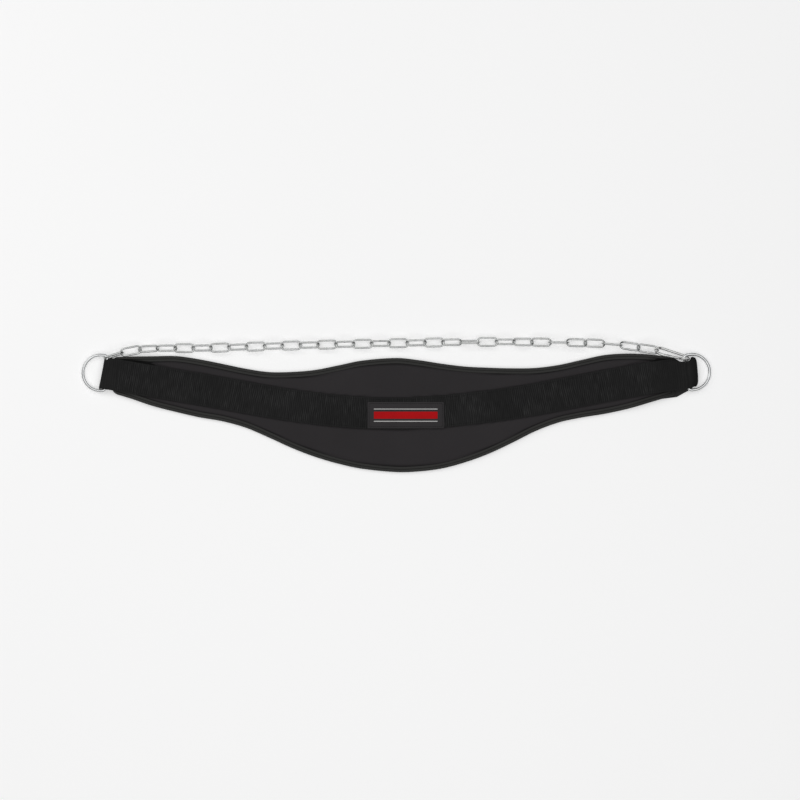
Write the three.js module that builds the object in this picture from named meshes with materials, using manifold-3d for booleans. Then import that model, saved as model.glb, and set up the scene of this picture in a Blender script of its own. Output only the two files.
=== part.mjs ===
// Dip belt laid flat on a surface, strap side up: a shaped back pad with a bound edge, a webbing strap
// sewn along it, a D-ring in the strap's loop at each end, and a chain from the left ring to a snap hook
// on the right one. Millimetres. X runs along the belt, Y across it towards the chain, Z up.
import * as THREE from 'three';
import { mergeVertices } from 'three/addons/utils/BufferGeometryUtils.js';
import Module from 'manifold-3d';

const wasm = await Module();
wasm.setup();

// Belt
const RING_SPAN = 893;            // between the straight bars of the two rings
const STRAP_SAG = 63.5;           // how far the strap's middle lies below its ends
const CLEARANCE = 0.3;            // between pieces that touch on the real belt

// Back pad
const PAD_HEIGHT = 176;           // at the middle, over the bound edges
const PAD_END_HEIGHT = 91.5;      // of the even part towards each end
const PAD_END_SHARE = 0.26;       // the share that this even part reaches on each side of the strap
const PAD_THICKNESS = 8;
const PAD_EDGE_THICKNESS = 4.4;   // where the edge tape holds it
const PAD_INSET_LEFT = 7;         // from the left ring's bar to the pad's end
const PAD_INSET_RIGHT = 18;
const PAD_CORNER_RADIUS = 11;
const PAD_STATIONS = 42;
const SHOULDER = 6;               // width of the slope from the tape up to the pad's face

// Edge tape
const TAPE_WIDTH = 9;
const TAPE_THICKNESS = 0.9;
const TAPE_LIFT = 0.3;            // of the tape's underside above the pad's back face

// Webbing strap
const STRAP_WIDTH = 49;
const STRAP_THICKNESS = 2;
const STRAP_RETURN = 46;          // length turned back under each end of the pad
const STRAP_REST = 12;            // of the pad past the end of that length, still level
const STRAP_RAMP = 34;            // over which the pad's end climbs onto the strap turned back
const STRAP_STATIONS = 30;
const STRAP_STRIPS = 4;
const LOOP_STEPS = 6;
const LOOP_BLEND = 42;            // length over which the strap's edges turn parallel to the ring's bar
const LOOP_SLACK_LEFT = 5.5;      // how far the loosest edge of each loop stands off its bar
const LOOP_SLACK_RIGHT = 13.6;

// D-rings
const RING_WIRE = 4.8;
const RING_INNER_WIDTH = 50;
const RING_STRAIGHT = 9.5;        // from the bar's centre line to the centre of the arc
const RING_CORNER_RADIUS = 5;
const RING_BAR_HEIGHT = 8;
const RING_SIDES = 8;
const RING_ARC_STEPS = 20;
const RING_CORNER_STEPS = 4;
const RING_TURN_LEFT = 4;         // degrees, seen from above
const RING_TURN_RIGHT = -8;

// Label
const LABEL_LENGTH = 117.5;
const LABEL_HEIGHT = 40.5;
const LABEL_THICKNESS = 0.8;
const LABEL_CORNER_RADIUS = 1.5;
const LABEL_ABOVE_EDGE = 2;       // from the strap's lower edge to the label's
const LABEL_OFFSET = 14.4;        // to the right of the belt's middle

// Chain
const LINK_WIRE = 3;
const LINK_WIDTH = 15.5;
const LINK_SPACING = 27.4;        // the route's length decides how many links it takes
const LINK_PLAY = 0.6;            // of one link's wire in the next link's bend
const LINK_SIDES = 6;
const LINK_CROWN_STEPS = 5;

// Snap hook
const HOOK_LENGTH = 58;
const HOOK_WIRE = 4.2;
const HOOK_NARROW_RADIUS = 6.4;   // of the wire's centre line round the ring
const HOOK_WIDE_RADIUS = 11.5;    // and round the last link
const HOOK_ROLL = 64;             // degrees, the gate's side up
const HOOK_PAD_GAP = 8.95;        // from the pad's upper edge to the middle of the hook's wide end
const HOOK_SLACK_OUT = 1.9;       // of the narrow bend inside the ring, off its bar
const HOOK_SLACK_DOWN = 1.3;      // and off its upper side
const HOOK_SIDES = 10;
const HOOK_NARROW_STEPS = 8;
const HOOK_WIDE_STEPS = 12;
const HINGE_OFFSET = 6.5;         // from the narrow bend to the gate's pin
const NOSE_LENGTH = 5;            // of straight wire past the wide bend
const LAP_LENGTH = 3;             // of the lap between nose and gate
const TONGUE_THICKNESS = 1.4;     // of the gate's end between the cheeks
const EYE_WALL = 0.6;             // of the tongue round its hole
const CHEEK_THICKNESS = 1;
const PIN_DIAMETER = 1.6;
const PIN_HEAD_DIAMETER = 2.6;
const PIN_HEAD_THICKNESS = 0.4;
const PIN_HEAD_FLAT = 0.8;        // share of the head's width
const PIN_SIDES = 10;
const CUT_REACH = 10;             // of the cuts for slot, lap and pin past the hook's wire

// Sections of the belt from the left ring (-1) to the right one (1): the strap's drop as a share of
// STRAP_SAG, and how far the pad reaches above and below the strap's centre line, where the shares of the
// middle row add up to 1.
const beltSections = [
  { along: -1.00, drop: 0.020, above: 0.140, below: 0.160 },
  { along: -0.92, drop: 0.120, above: 0.183, below: 0.183 },
  { along: -0.84, drop: 0.215, above: 0.220, below: 0.217 },
  { along: -0.76, drop: 0.310, above: 0.256, below: 0.235 },
  { along: -0.68, drop: 0.405, above: 0.262, below: 0.247 },
  { along: -0.60, drop: 0.505, above: 0.258, below: 0.246 },
  { along: -0.52, drop: 0.605, above: 0.252, below: 0.266 },
  { along: -0.44, drop: 0.708, above: 0.260, below: 0.315 },
  { along: -0.36, drop: 0.797, above: 0.293, below: 0.375 },
  { along: -0.28, drop: 0.873, above: 0.338, below: 0.425 },
  { along: -0.20, drop: 0.930, above: 0.398, below: 0.464 },
  { along: -0.12, drop: 0.973, above: 0.455, below: 0.492 },
  { along: 0.00, drop: 1.000, above: 0.488, below: 0.512 },
  { along: 0.08, drop: 0.980, above: 0.461, below: 0.513 },
  { along: 0.16, drop: 0.945, above: 0.417, below: 0.499 },
  { along: 0.24, drop: 0.887, above: 0.372, below: 0.465 },
  { along: 0.32, drop: 0.820, above: 0.338, below: 0.415 },
  { along: 0.40, drop: 0.743, above: 0.305, below: 0.348 },
  { along: 0.48, drop: 0.650, above: 0.275, below: 0.280 },
  { along: 0.56, drop: 0.543, above: 0.262, below: 0.243 },
  { along: 0.64, drop: 0.435, above: 0.268, below: 0.238 },
  { along: 0.72, drop: 0.328, above: 0.272, below: 0.244 },
  { along: 0.80, drop: 0.225, above: 0.247, below: 0.237 },
  { along: 0.88, drop: 0.128, above: 0.203, below: 0.213 },
  { along: 0.95, drop: 0.058, above: 0.155, below: 0.184 },
  { along: 1.00, drop: 0.010, above: 0.135, below: 0.158 },
];

// How far each loop stands off its bar, across the strap's width from its lower (-1) to its upper edge
// (1), as shares of the loop's slack.
const loopSlack = {
  left: [
    { across: -1, off: 1 },
    { across: 0, off: 0.43 },
    { across: 1, off: 0 },
  ],
  right: [
    { across: -1, off: 0.5 },
    { across: -0.5, off: 0.88 },
    { across: 0, off: 1 },
    { across: 0.5, off: 0.95 },
    { across: 1, off: 0.32 },
  ],
};

// The chain's route between the left ring and the hook: shares of the way, and millimetres beyond the
// pad's upper edge.
const chainRoute = [
  { along: 0.055, beyond: 10 },
  { along: 0.19, beyond: 20.3 },
  { along: 0.36, beyond: 39.9 },
  { along: 0.53, beyond: 22.7 },
  { along: 0.69, beyond: 39.5 },
  { along: 0.8, beyond: 37.6 },
  { along: 0.92, beyond: 15.2 },
];

// The strap's ends turned back under the pad: shares of STRAP_RETURN from the pad's end.
const returnShares = [1, 0.72, 0.44, 0.24];

// How much of a loop's slack the strap has where it leaves the loop on each side.
const slackLeaving = { underLeft: 0.4, overRight: 0.3, underRight: 0.2 };

// How far each link is rolled about the chain, in degrees, from the left ring on.
const linkRolls = [
  78, 26, -46, 50, -15, 52, -12, 53, -12, 52, -14, 52, -12, 52, -12, 53,
  -10, 53, -10, 48, -72, -6, 56, -35, 27, 90, -30, 30, 92, -34, 30,
];

const metal = (color, roughness) => new THREE.MeshStandardMaterial({ color, roughness, metalness: 1 });
const cloth = (color, roughness) => new THREE.MeshStandardMaterial({ color, roughness, metalness: 0 });
const padCloth = cloth(0x2b292a, 0.85);
const tapeCloth = cloth(0x242424, 0.8);
const strapCloth = cloth(0x1b1b1b, 0.9);
const labelCloth = cloth(0x343436, 0.7);
const zinc = metal(0xc8c9c6, 0.3);
const steel = metal(0xb9bab8, 0.32);

const degrees = THREE.MathUtils.degToRad;
const halfSpan = RING_SPAN / 2;
const ringRadius = RING_INNER_WIDTH / 2 + RING_WIRE / 2;
const barToWebbing = RING_WIRE / 2 + CLEARANCE;
const returnTop = STRAP_THICKNESS + CLEARANCE;
const tapeFold = TAPE_THICKNESS + CLEARANCE;
const edgeLift = TAPE_LIFT + tapeFold;
const linkRadius = (LINK_WIDTH - LINK_WIRE) / 2;
const hookSeat = new THREE.Vector2(
  (RING_WIRE + HOOK_WIRE) / 2 + HOOK_SLACK_OUT,
  ringRadius - (RING_WIRE + HOOK_WIRE) / 2 - HOOK_SLACK_DOWN,
);
const linkSeat = new THREE.Vector2(RING_CORNER_RADIUS, ringRadius - RING_CORNER_RADIUS);
const turns = { left: degrees(RING_TURN_LEFT), right: degrees(RING_TURN_RIGHT) };

// Smooth value of a table's column between its rows.
function valueAt(rows, key, column, at) {
  const last = rows.length - 1;
  let row = 0;
  while (row < last - 1 && at > rows[row + 1][key]) row += 1;
  const tangent = (index) => {
    const before = rows[Math.max(index - 1, 0)];
    const after = rows[Math.min(index + 1, last)];
    return (after[column] - before[column]) / (after[key] - before[key]);
  };
  const span = rows[row + 1][key] - rows[row][key];
  const t = THREE.MathUtils.clamp((at - rows[row][key]) / span, 0, 1);
  const rise = rows[row + 1][column] - rows[row][column];
  const first = tangent(row) * span;
  const second = tangent(row + 1) * span;
  const square = 3 * rise - 2 * first - second;
  const cube = first + second - 2 * rise;
  return rows[row][column] + t * (first + t * (square + t * cube));
}

const beltAt = (column, x) => valueAt(beltSections, 'along', column, x / halfSpan);
const evenScale = PAD_END_HEIGHT / (2 * PAD_END_SHARE);
const bellyScale = (PAD_HEIGHT - PAD_END_HEIGHT) / (1 - 2 * PAD_END_SHARE);
const strapCentre = (x) => -STRAP_SAG * beltAt('drop', x);
const strapSlope = (x) => Math.atan2(strapCentre(x + 1) - strapCentre(x - 1), 2);
const smooth = (from, to, at) => THREE.MathUtils.smoothstep(at, from, to);

// How far the pad reaches from the strap's centre line. Its belly alone grows with the pad's height.
function padReach(column, x) {
  const share = beltAt(column, x);
  const even = Math.min(share, PAD_END_SHARE);
  return even * evenScale + (share - even) * bellyScale;
}

const padTop = (x) => strapCentre(x) + padReach('above', x);

// A closed body from rings of points: each ring is joined to the next, and the ends are capped.
function loft(rings, { closed = false, cap = fanCap } = {}) {
  const count = rings[0].length;
  const points = rings.flat();
  const index = [];
  const joins = closed ? rings.length : rings.length - 1;
  for (let ring = 0; ring < joins; ring += 1) {
    const next = (ring + 1) % rings.length;
    for (let side = 0; side < count; side += 1) {
      const other = (side + 1) % count;
      const a = ring * count + side;
      const b = ring * count + other;
      const c = next * count + side;
      const d = next * count + other;
      index.push(a, b, d, a, d, c);
    }
  }
  if (!closed) {
    cap(count, 0, index, true);
    cap(count, (rings.length - 1) * count, index, false);
  }
  return outward(points, index);
}

function fanCap(count, first, index, flip) {
  for (let side = 1; side < count - 1; side += 1) {
    if (flip) index.push(first, first + side + 1, first + side);
    else index.push(first, first + side, first + side + 1);
  }
}

// A cap between the first and second halves of a ring, as between a belt's upper and lower edges.
function stripCap(count, first, index, flip) {
  for (let side = 0; side < count / 2 - 1; side += 1) {
    const a = first + side;
    const b = first + side + 1;
    const c = first + count - 1 - side;
    const d = first + count - 2 - side;
    if (flip) index.push(a, c, b, b, c, d);
    else index.push(a, b, c, b, d, c);
  }
}

// The geometry with its faces turned to point out.
function outward(points, index) {
  let volume = 0;
  for (let face = 0; face < index.length; face += 3) {
    const [a, b, c] = [points[index[face]], points[index[face + 1]], points[index[face + 2]]];
    volume += a.dot(new THREE.Vector3().crossVectors(b, c));
  }
  if (volume < 0) index.reverse();
  const geometry = new THREE.BufferGeometry().setFromPoints(points);
  geometry.setIndex(index);
  return geometry;
}

// Round wire along a path in the XY plane.
function wire(path, radius, sides, closed) {
  const rings = path.map((point, at) => {
    const before = path[closed ? (at + path.length - 1) % path.length : Math.max(at - 1, 0)];
    const after = path[closed ? (at + 1) % path.length : Math.min(at + 1, path.length - 1)];
    const across = new THREE.Vector3(before.y - after.y, after.x - before.x, 0).normalize();
    return Array.from({ length: sides }, (_, side) => {
      const angle = (side + 0.5) / sides * Math.PI * 2;
      return new THREE.Vector3(point.x, point.y, radius * Math.sin(angle))
        .addScaledVector(across, radius * Math.cos(angle));
    });
  });
  return loft(rings, { closed });
}

function arc(x, y, radius, from, to, steps) {
  return Array.from({ length: steps + 1 }, (_, step) => {
    const angle = from + (to - from) * step / steps;
    return new THREE.Vector2(x + radius * Math.cos(angle), y + radius * Math.sin(angle));
  });
}

function solid(geometry) {
  const bare = geometry.clone();
  bare.deleteAttribute('normal');
  bare.deleteAttribute('uv');
  const merged = mergeVertices(bare, 1e-4);
  return new wasm.Manifold(new wasm.Mesh({
    numProp: 3,
    vertProperties: merged.attributes.position.array,
    triVerts: new Uint32Array(merged.index.array),
  }));
}

function geometryOf(manifold) {
  const mesh = manifold.getMesh();
  const geometry = new THREE.BufferGeometry();
  geometry.setAttribute('position', new THREE.BufferAttribute(mesh.vertProperties, 3));
  geometry.setIndex(new THREE.BufferAttribute(mesh.triVerts, 1));
  return geometry;
}

function piece(name, geometry, material) {
  const mesh = new THREE.Mesh(geometry, material);
  mesh.name = name;
  return mesh;
}

// Height of the pad's back face: on the surface in the middle, on the strap's turned ends at both ends.
function padBase(x) {
  const left = -halfSpan + STRAP_RETURN + PAD_INSET_LEFT + STRAP_REST;
  const right = halfSpan - STRAP_RETURN - PAD_INSET_RIGHT - STRAP_REST;
  return returnTop * (1 - smooth(left, left + STRAP_RAMP, x) + smooth(right - STRAP_RAMP, right, x));
}

// The pad's outline at an inset from its edge: the upper edge from left to right, then the lower edge back.
function padOutline(inset, height) {
  const left = -halfSpan + PAD_INSET_LEFT + inset;
  const right = halfSpan - PAD_INSET_RIGHT - inset;
  const radius = Math.max(PAD_CORNER_RADIUS - inset, 1);
  const stations = [];
  const cornerTurns = [0, 1, 2, 3].map((turn) => turn / 4 * Math.PI / 2);
  const corner = (x, way, turn) => ({
    x: x + way * radius * (1 - Math.cos(turn)),
    cut: radius * (1 - Math.sin(turn)),
  });
  cornerTurns.forEach((turn) => stations.push(corner(left, 1, turn)));
  for (let step = 0; step <= PAD_STATIONS; step += 1) {
    const x = THREE.MathUtils.lerp(left + radius, right - radius, step / PAD_STATIONS);
    stations.push({ x, cut: 0 });
  }
  cornerTurns.reverse().forEach((turn) => stations.push(corner(right, -1, turn)));
  const edge = (station, side, column) => {
    const reach = (x) => strapCentre(x) + side * padReach(column, x);
    const slope = (reach(station.x + 1) - reach(station.x - 1)) / 2;
    const y = reach(station.x) - side * (inset * Math.hypot(1, slope) + station.cut);
    return new THREE.Vector3(station.x, y, padBase(station.x) + height);
  };
  const upper = stations.map((station) => edge(station, 1, 'above'));
  const lower = stations.map((station) => edge(station, -1, 'below'));
  return [...upper, ...lower.reverse()];
}

function backPad() {
  const edgeTop = edgeLift + PAD_EDGE_THICKNESS;
  const rim = tapeFold;
  const rings = [
    padOutline(TAPE_WIDTH + SHOULDER, 0),
    padOutline(TAPE_WIDTH + CLEARANCE, edgeLift),
    padOutline(rim + edgeLift / 2, edgeLift),
    padOutline(rim, edgeLift + PAD_EDGE_THICKNESS / 2),
    padOutline(rim + edgeLift / 2, edgeTop),
    padOutline(TAPE_WIDTH + CLEARANCE, edgeTop),
    padOutline(TAPE_WIDTH + SHOULDER, PAD_THICKNESS),
  ];
  return piece('back_pad', loft(rings, { cap: stripCap }), padCloth);
}

function edgeTape() {
  const bottom = TAPE_LIFT;
  const top = edgeLift + PAD_EDGE_THICKNESS + tapeFold;
  const middle = (bottom + top) / 2;
  const round = edgeLift / 2;
  const rings = [
    padOutline(TAPE_WIDTH, top),
    padOutline(round, top),
    padOutline(0, middle),
    padOutline(round, bottom),
    padOutline(TAPE_WIDTH, bottom),
    padOutline(TAPE_WIDTH, bottom + TAPE_THICKNESS),
    padOutline(TAPE_THICKNESS + round, bottom + TAPE_THICKNESS),
    padOutline(TAPE_THICKNESS, middle),
    padOutline(TAPE_THICKNESS + round, top - TAPE_THICKNESS),
    padOutline(TAPE_WIDTH, top - TAPE_THICKNESS),
  ];
  return piece('edge_binding', loft(rings, { closed: true }), tapeCloth);
}

// Direction across the strap at x, turned parallel to the ring's bar near each end.
function strapTurn(x) {
  const left = 1 - smooth(-halfSpan, -halfSpan + LOOP_BLEND, x);
  const right = smooth(halfSpan - LOOP_BLEND, halfSpan, x);
  return strapSlope(x) * (1 - left - right) - turns.left * left - turns.right * right;
}

// Half width of the strap above and below its centre line. Beside each ring the upper edge gives way to
// the chain's first link or to the hook.
function strapReach(x, side) {
  const full = STRAP_WIDTH / 2;
  if (side < 0) return full;
  const linkRoom = linkSeat.y - LINK_WIRE / 2 - CLEARANCE;
  const hookReachDown = HOOK_NARROW_RADIUS * Math.cos(degrees(HOOK_ROLL)) + HOOK_WIRE / 2;
  const hookRoom = hookSeat.y - hookReachDown - 2 * CLEARANCE;
  const atLink = 1 - smooth(-halfSpan + LINK_WIRE, -halfSpan + full, x);
  const hookEnd = halfSpan + hookSeat.x + HOOK_WIRE;
  const atHook = smooth(halfSpan - full, halfSpan - RING_WIRE, x)
    * (1 - smooth(hookEnd - 1, hookEnd + RING_WIRE, x));
  return full - atLink * (full - linkRoom) - atHook * (full - hookRoom);
}

// The strap's path seen from the side, from the end turned back under the left of the pad, round the
// left bar, along the top and round the right bar to the other end.
function strapPath() {
  const half = STRAP_THICKNESS / 2;
  const loop = barToWebbing + half;
  const path = [];
  const add = (side, x, z, loose) => path.push({ side, x, z, loose });
  const underPad = (share, inset) => halfSpan - inset - STRAP_RETURN * share;
  const stretch = halfSpan / STRAP_STATIONS;
  const onPad = PAD_THICKNESS + CLEARANCE + half;
  const top = (x) => Math.max(padBase(x - stretch), padBase(x + stretch)) + onPad;
  const rise = half + CLEARANCE;
  returnShares.forEach((share) => add('left', -underPad(share, PAD_INSET_LEFT), half, 0));
  add('left', PAD_INSET_LEFT - halfSpan, rise, slackLeaving.underLeft);
  for (let step = 0; step <= LOOP_STEPS; step += 1) {
    const angle = Math.PI * (step / LOOP_STEPS - 0.5);
    add('left', -halfSpan - loop * Math.cos(angle), RING_BAR_HEIGHT + loop * Math.sin(angle), 1);
  }
  const from = -halfSpan + PAD_INSET_LEFT + TAPE_WIDTH / 2;
  const to = halfSpan - PAD_INSET_RIGHT - TAPE_WIDTH / 2;
  for (let step = 0; step <= STRAP_STATIONS; step += 1) {
    const x = THREE.MathUtils.lerp(from, to, step / STRAP_STATIONS);
    add(x < 0 ? 'left' : 'right', x, top(x), 0);
  }
  add('right', halfSpan - RING_WIRE, RING_BAR_HEIGHT + loop + half / 2, slackLeaving.overRight);
  for (let step = 0; step <= LOOP_STEPS; step += 1) {
    const angle = Math.PI * (0.5 - step / LOOP_STEPS);
    add('right', halfSpan + loop * Math.cos(angle), RING_BAR_HEIGHT + loop * Math.sin(angle), 1);
  }
  add('right', halfSpan - PAD_INSET_RIGHT / 2, rise, slackLeaving.underRight);
  [...returnShares].reverse().forEach((share) => add('right', underPad(share, PAD_INSET_RIGHT), half, 0));
  return path;
}

function strap() {
  const path = strapPath();
  const rings = path.map((point, at) => {
    const before = path[Math.max(at - 1, 0)];
    const after = path[Math.min(at + 1, path.length - 1)];
    const way = new THREE.Vector2(after.x - before.x, after.z - before.z).normalize();
    const turn = strapTurn(point.x);
    const along = new THREE.Vector3(Math.cos(turn), Math.sin(turn), 0);
    const across = new THREE.Vector3(-Math.sin(turn), Math.cos(turn), 0);
    const middle = THREE.MathUtils.clamp(point.x, -halfSpan, halfSpan);
    const base = new THREE.Vector3(middle, strapCentre(middle), 0);
    const table = loopSlack[point.side];
    const slack = point.side === 'left' ? -LOOP_SLACK_LEFT : LOOP_SLACK_RIGHT;
    const corner = (strip, face) => {
      const share = strip / STRAP_STRIPS * 2 - 1;
      const off = slack * point.loose * valueAt(table, 'across', 'off', share);
      const reachAt = point.side === 'left' ? point.x : point.x + off;
      const reach = share * strapReach(reachAt, share);
      const thick = face * STRAP_THICKNESS / 2;
      return base.clone()
        .addScaledVector(along, point.x - middle + off + way.y * thick)
        .addScaledVector(across, reach)
        .setZ(point.z - way.x * thick);
    };
    const strips = Array.from({ length: STRAP_STRIPS + 1 }, (_, strip) => strip);
    const outer = strips.map((strip) => corner(strip, 1));
    const inner = strips.map((strip) => corner(strip, -1));
    return [...outer, ...inner.reverse()];
  });
  return piece('strap', loft(rings, { cap: stripCap }), strapCloth);
}

function label() {
  const shape = new THREE.Shape();
  const [x, y, r] = [LABEL_LENGTH / 2, LABEL_HEIGHT / 2, LABEL_CORNER_RADIUS];
  shape.absarc(x - r, y - r, r, 0, Math.PI / 2);
  shape.absarc(r - x, y - r, r, Math.PI / 2, Math.PI);
  shape.absarc(r - x, r - y, r, Math.PI, Math.PI * 1.5);
  shape.absarc(x - r, r - y, r, Math.PI * 1.5, Math.PI * 2);
  shape.closePath();
  const geometry = new THREE.ExtrudeGeometry(shape, {
    depth: LABEL_THICKNESS,
    bevelEnabled: false,
    curveSegments: 4,
  });
  const mesh = piece('label', geometry, labelCloth);
  const lowerEdge = strapCentre(0) - STRAP_WIDTH / 2 + LABEL_ABOVE_EDGE;
  mesh.position.set(LABEL_OFFSET, lowerEdge + LABEL_HEIGHT / 2, PAD_THICKNESS + STRAP_THICKNESS + 2 * CLEARANCE);
  return mesh;
}

// A D-ring in its own plane: the bar along Y through the origin, the arc towards +X.
function ringPath() {
  const r = RING_CORNER_RADIUS;
  const quarter = Math.PI / 2;
  return [
    ...arc(RING_STRAIGHT, 0, ringRadius, -quarter, quarter, RING_ARC_STEPS),
    ...arc(r, ringRadius - r, r, quarter, 2 * quarter, RING_CORNER_STEPS),
    ...arc(r, r - ringRadius, r, 2 * quarter, 3 * quarter, RING_CORNER_STEPS),
  ];
}

// The ring's bar lies in the strap's loop, and its arc rests on the surface.
function ring(side) {
  const mesh = piece(`d_ring_${side}`, wire(ringPath(), RING_WIRE / 2, RING_SIDES, true), steel);
  mesh.applyMatrix4(ringFrame(side));
  return mesh;
}

function ringFrame(side) {
  const sign = side === 'left' ? -1 : 1;
  const turn = turns[side];
  const drop = Math.asin((RING_BAR_HEIGHT - RING_WIRE / 2) / (RING_STRAIGHT + ringRadius));
  const across = new THREE.Vector3(Math.sin(turn), Math.cos(turn), 0);
  const level = new THREE.Vector3(sign * Math.cos(turn), -sign * Math.sin(turn), 0);
  const out = level.multiplyScalar(Math.cos(drop)).setZ(-Math.sin(drop));
  const up = new THREE.Vector3().crossVectors(out, across);
  const place = new THREE.Vector3(sign * halfSpan, strapCentre(sign * halfSpan), RING_BAR_HEIGHT);
  return new THREE.Matrix4().makeBasis(out, across, up).setPosition(place);
}

// A place inside a ring, given in the ring's own plane.
function insideRing(side, seat) {
  return new THREE.Vector3(seat.x, seat.y, 0).applyMatrix4(ringFrame(side));
}

// One link in its own plane, its middle at the origin.
function linkGeometry(inner) {
  const half = inner / 2 + LINK_WIRE / 2 - linkRadius;
  const quarter = Math.PI / 2;
  const path = [
    ...arc(half, 0, linkRadius, -quarter, quarter, LINK_CROWN_STEPS),
    ...arc(-half, 0, linkRadius, quarter, 3 * quarter, LINK_CROWN_STEPS),
  ];
  return wire(path, LINK_WIRE / 2, LINK_SIDES, true);
}

// Links from joint to joint along the route. Each joint is as high as its more upright link needs.
function chain(start, end) {
  const bends = chainRoute.map(({ along, beyond }) => {
    const x = THREE.MathUtils.lerp(start.x, end.x, along);
    return new THREE.Vector3(x, padTop(x) + beyond, 0);
  });
  const points = [start.clone().setZ(0), ...bends, end.clone().setZ(0)];
  const route = new THREE.CatmullRomCurve3(points, false, 'centripetal');
  const reach = LINK_WIRE / 2 + LINK_PLAY / 2;
  const count = Math.round((route.getLength() - 2 * reach) / LINK_SPACING);
  const spacing = (route.getLength() - 2 * reach) / count;
  const rollOf = (link) => degrees(linkRolls[THREE.MathUtils.euclideanModulo(link, linkRolls.length)]);
  const restHeight = (link) => LINK_WIRE / 2 + linkRadius * Math.abs(Math.sin(rollOf(link)));
  const joints = Array.from({ length: count + 1 }, (_, joint) => {
    const at = (reach + spacing * joint) / route.getLength();
    const height = Math.max(restHeight(Math.max(joint - 1, 0)), restHeight(joint));
    return route.getPointAt(at).setZ(joint === count ? end.z : height);
  });
  const links = new THREE.Group();
  for (let link = 0; link < count; link += 1) {
    const way = joints[link + 1].clone().sub(joints[link]);
    const inner = way.length() + LINK_PLAY;
    way.normalize();
    const side = new THREE.Vector3(-way.y, way.x, 0).normalize();
    const up = new THREE.Vector3().crossVectors(way, side);
    const roll = rollOf(link);
    const across = side.multiplyScalar(Math.cos(roll)).addScaledVector(up, Math.sin(roll));
    const normal = new THREE.Vector3().crossVectors(way, across);
    const mesh = piece(`link_${String(link + 1).padStart(2, '0')}`, linkGeometry(inner), zinc);
    mesh.applyMatrix4(new THREE.Matrix4().makeBasis(way, across, normal));
    mesh.position.copy(joints[link]).add(joints[link + 1]).multiplyScalar(0.5);
    links.add(mesh);
  }
  return links;
}

// The hook in its own plane: the narrow bend's centre at the origin, the wide bend towards +X and the
// gate on the +Y side.
const hookReach = HOOK_LENGTH - HOOK_WIRE - HOOK_NARROW_RADIUS - HOOK_WIDE_RADIUS;
const flare = Math.asin((HOOK_WIDE_RADIUS - HOOK_NARROW_RADIUS) / hookReach);
const quarterTurn = Math.PI / 2;
const sideStart = new THREE.Vector2(0, HOOK_NARROW_RADIUS).rotateAround(new THREE.Vector2(), flare);
const sideWay = new THREE.Vector2(Math.cos(flare), Math.sin(flare));
const sideLength = Math.sqrt(hookReach ** 2 - (HOOK_WIDE_RADIUS - HOOK_NARROW_RADIUS) ** 2);
const onSide = (distance) => sideStart.clone().addScaledVector(sideWay, distance);
const hingePoint = onSide(HINGE_OFFSET);
const noseStart = sideLength - NOSE_LENGTH;
const eyeRadius = PIN_DIAMETER / 2 + CLEARANCE + EYE_WALL;
const slotHalf = TONGUE_THICKNESS / 2 + CLEARANCE;
const cheekHalf = slotHalf + CHEEK_THICKNESS;

// A plate in the hook's plane along its gate side, with a round end at the pin.
function pinPlate(from, to, radius, halfThickness) {
  const shape = new THREE.Shape();
  const start = Math.min(from, to) - HINGE_OFFSET;
  const stop = Math.max(from, to) - HINGE_OFFSET;
  if (from < HINGE_OFFSET) {
    shape.absarc(0, 0, radius, -quarterTurn, quarterTurn);
    shape.lineTo(start, radius);
    shape.lineTo(start, -radius);
  } else {
    shape.absarc(0, 0, radius, quarterTurn, 3 * quarterTurn);
    shape.lineTo(stop, -radius);
    shape.lineTo(stop, radius);
  }
  shape.closePath();
  const geometry = new THREE.ExtrudeGeometry(shape, {
    depth: 2 * halfThickness,
    bevelEnabled: false,
    curveSegments: 8,
  });
  geometry.translate(0, 0, -halfThickness);
  return atHinge(geometry);
}

function atHinge(geometry) {
  geometry.rotateZ(flare);
  geometry.translate(hingePoint.x, hingePoint.y, 0);
  return geometry;
}

function pinHole() {
  const radius = PIN_DIAMETER / 2 + CLEARANCE;
  const hole = new THREE.CylinderGeometry(radius, radius, 2 * CUT_REACH, PIN_SIDES);
  hole.rotateX(quarterTurn);
  return solid(atHinge(hole));
}

// A block beside the gate's line: from and to along the side, low and high across it.
function sideBlock(from, to, low, high, halfThickness) {
  const block = new THREE.BoxGeometry(to - from, high - low, 2 * halfThickness);
  block.translate((from + to) / 2 - HINGE_OFFSET, (low + high) / 2, 0);
  return solid(atHinge(block));
}

function hookBody() {
  const spineStart = new THREE.Vector2(sideStart.x, -sideStart.y);
  const spineWay = new THREE.Vector2(sideWay.x, -sideWay.y);
  const path = [
    onSide(HINGE_OFFSET - eyeRadius - 2 * CLEARANCE),
    ...arc(0, 0, HOOK_NARROW_RADIUS, quarterTurn + flare, 3 * quarterTurn - flare, HOOK_NARROW_STEPS),
    spineStart.clone().addScaledVector(spineWay, sideLength / 2),
    ...arc(hookReach, 0, HOOK_WIDE_RADIUS, -quarterTurn - flare, quarterTurn + flare, HOOK_WIDE_STEPS),
    onSide(noseStart - LAP_LENGTH),
  ];
  const rod = solid(wire(path, HOOK_WIRE / 2, HOOK_SIDES, false));
  const cheeks = solid(pinPlate(HOOK_WIRE / 4, HINGE_OFFSET, HOOK_WIRE / 2, cheekHalf));
  const slotStart = HINGE_OFFSET - eyeRadius - 2 * CLEARANCE;
  const slot = sideBlock(slotStart, HINGE_OFFSET + HOOK_WIRE, -CUT_REACH, CUT_REACH, slotHalf);
  const lap = sideBlock(noseStart - 2 * LAP_LENGTH, noseStart, -CUT_REACH, CLEARANCE / 2, CUT_REACH);
  const body = rod.add(cheeks).subtract(slot).subtract(pinHole()).subtract(lap);
  return piece('hook_body', geometryOf(body), steel);
}

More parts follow.
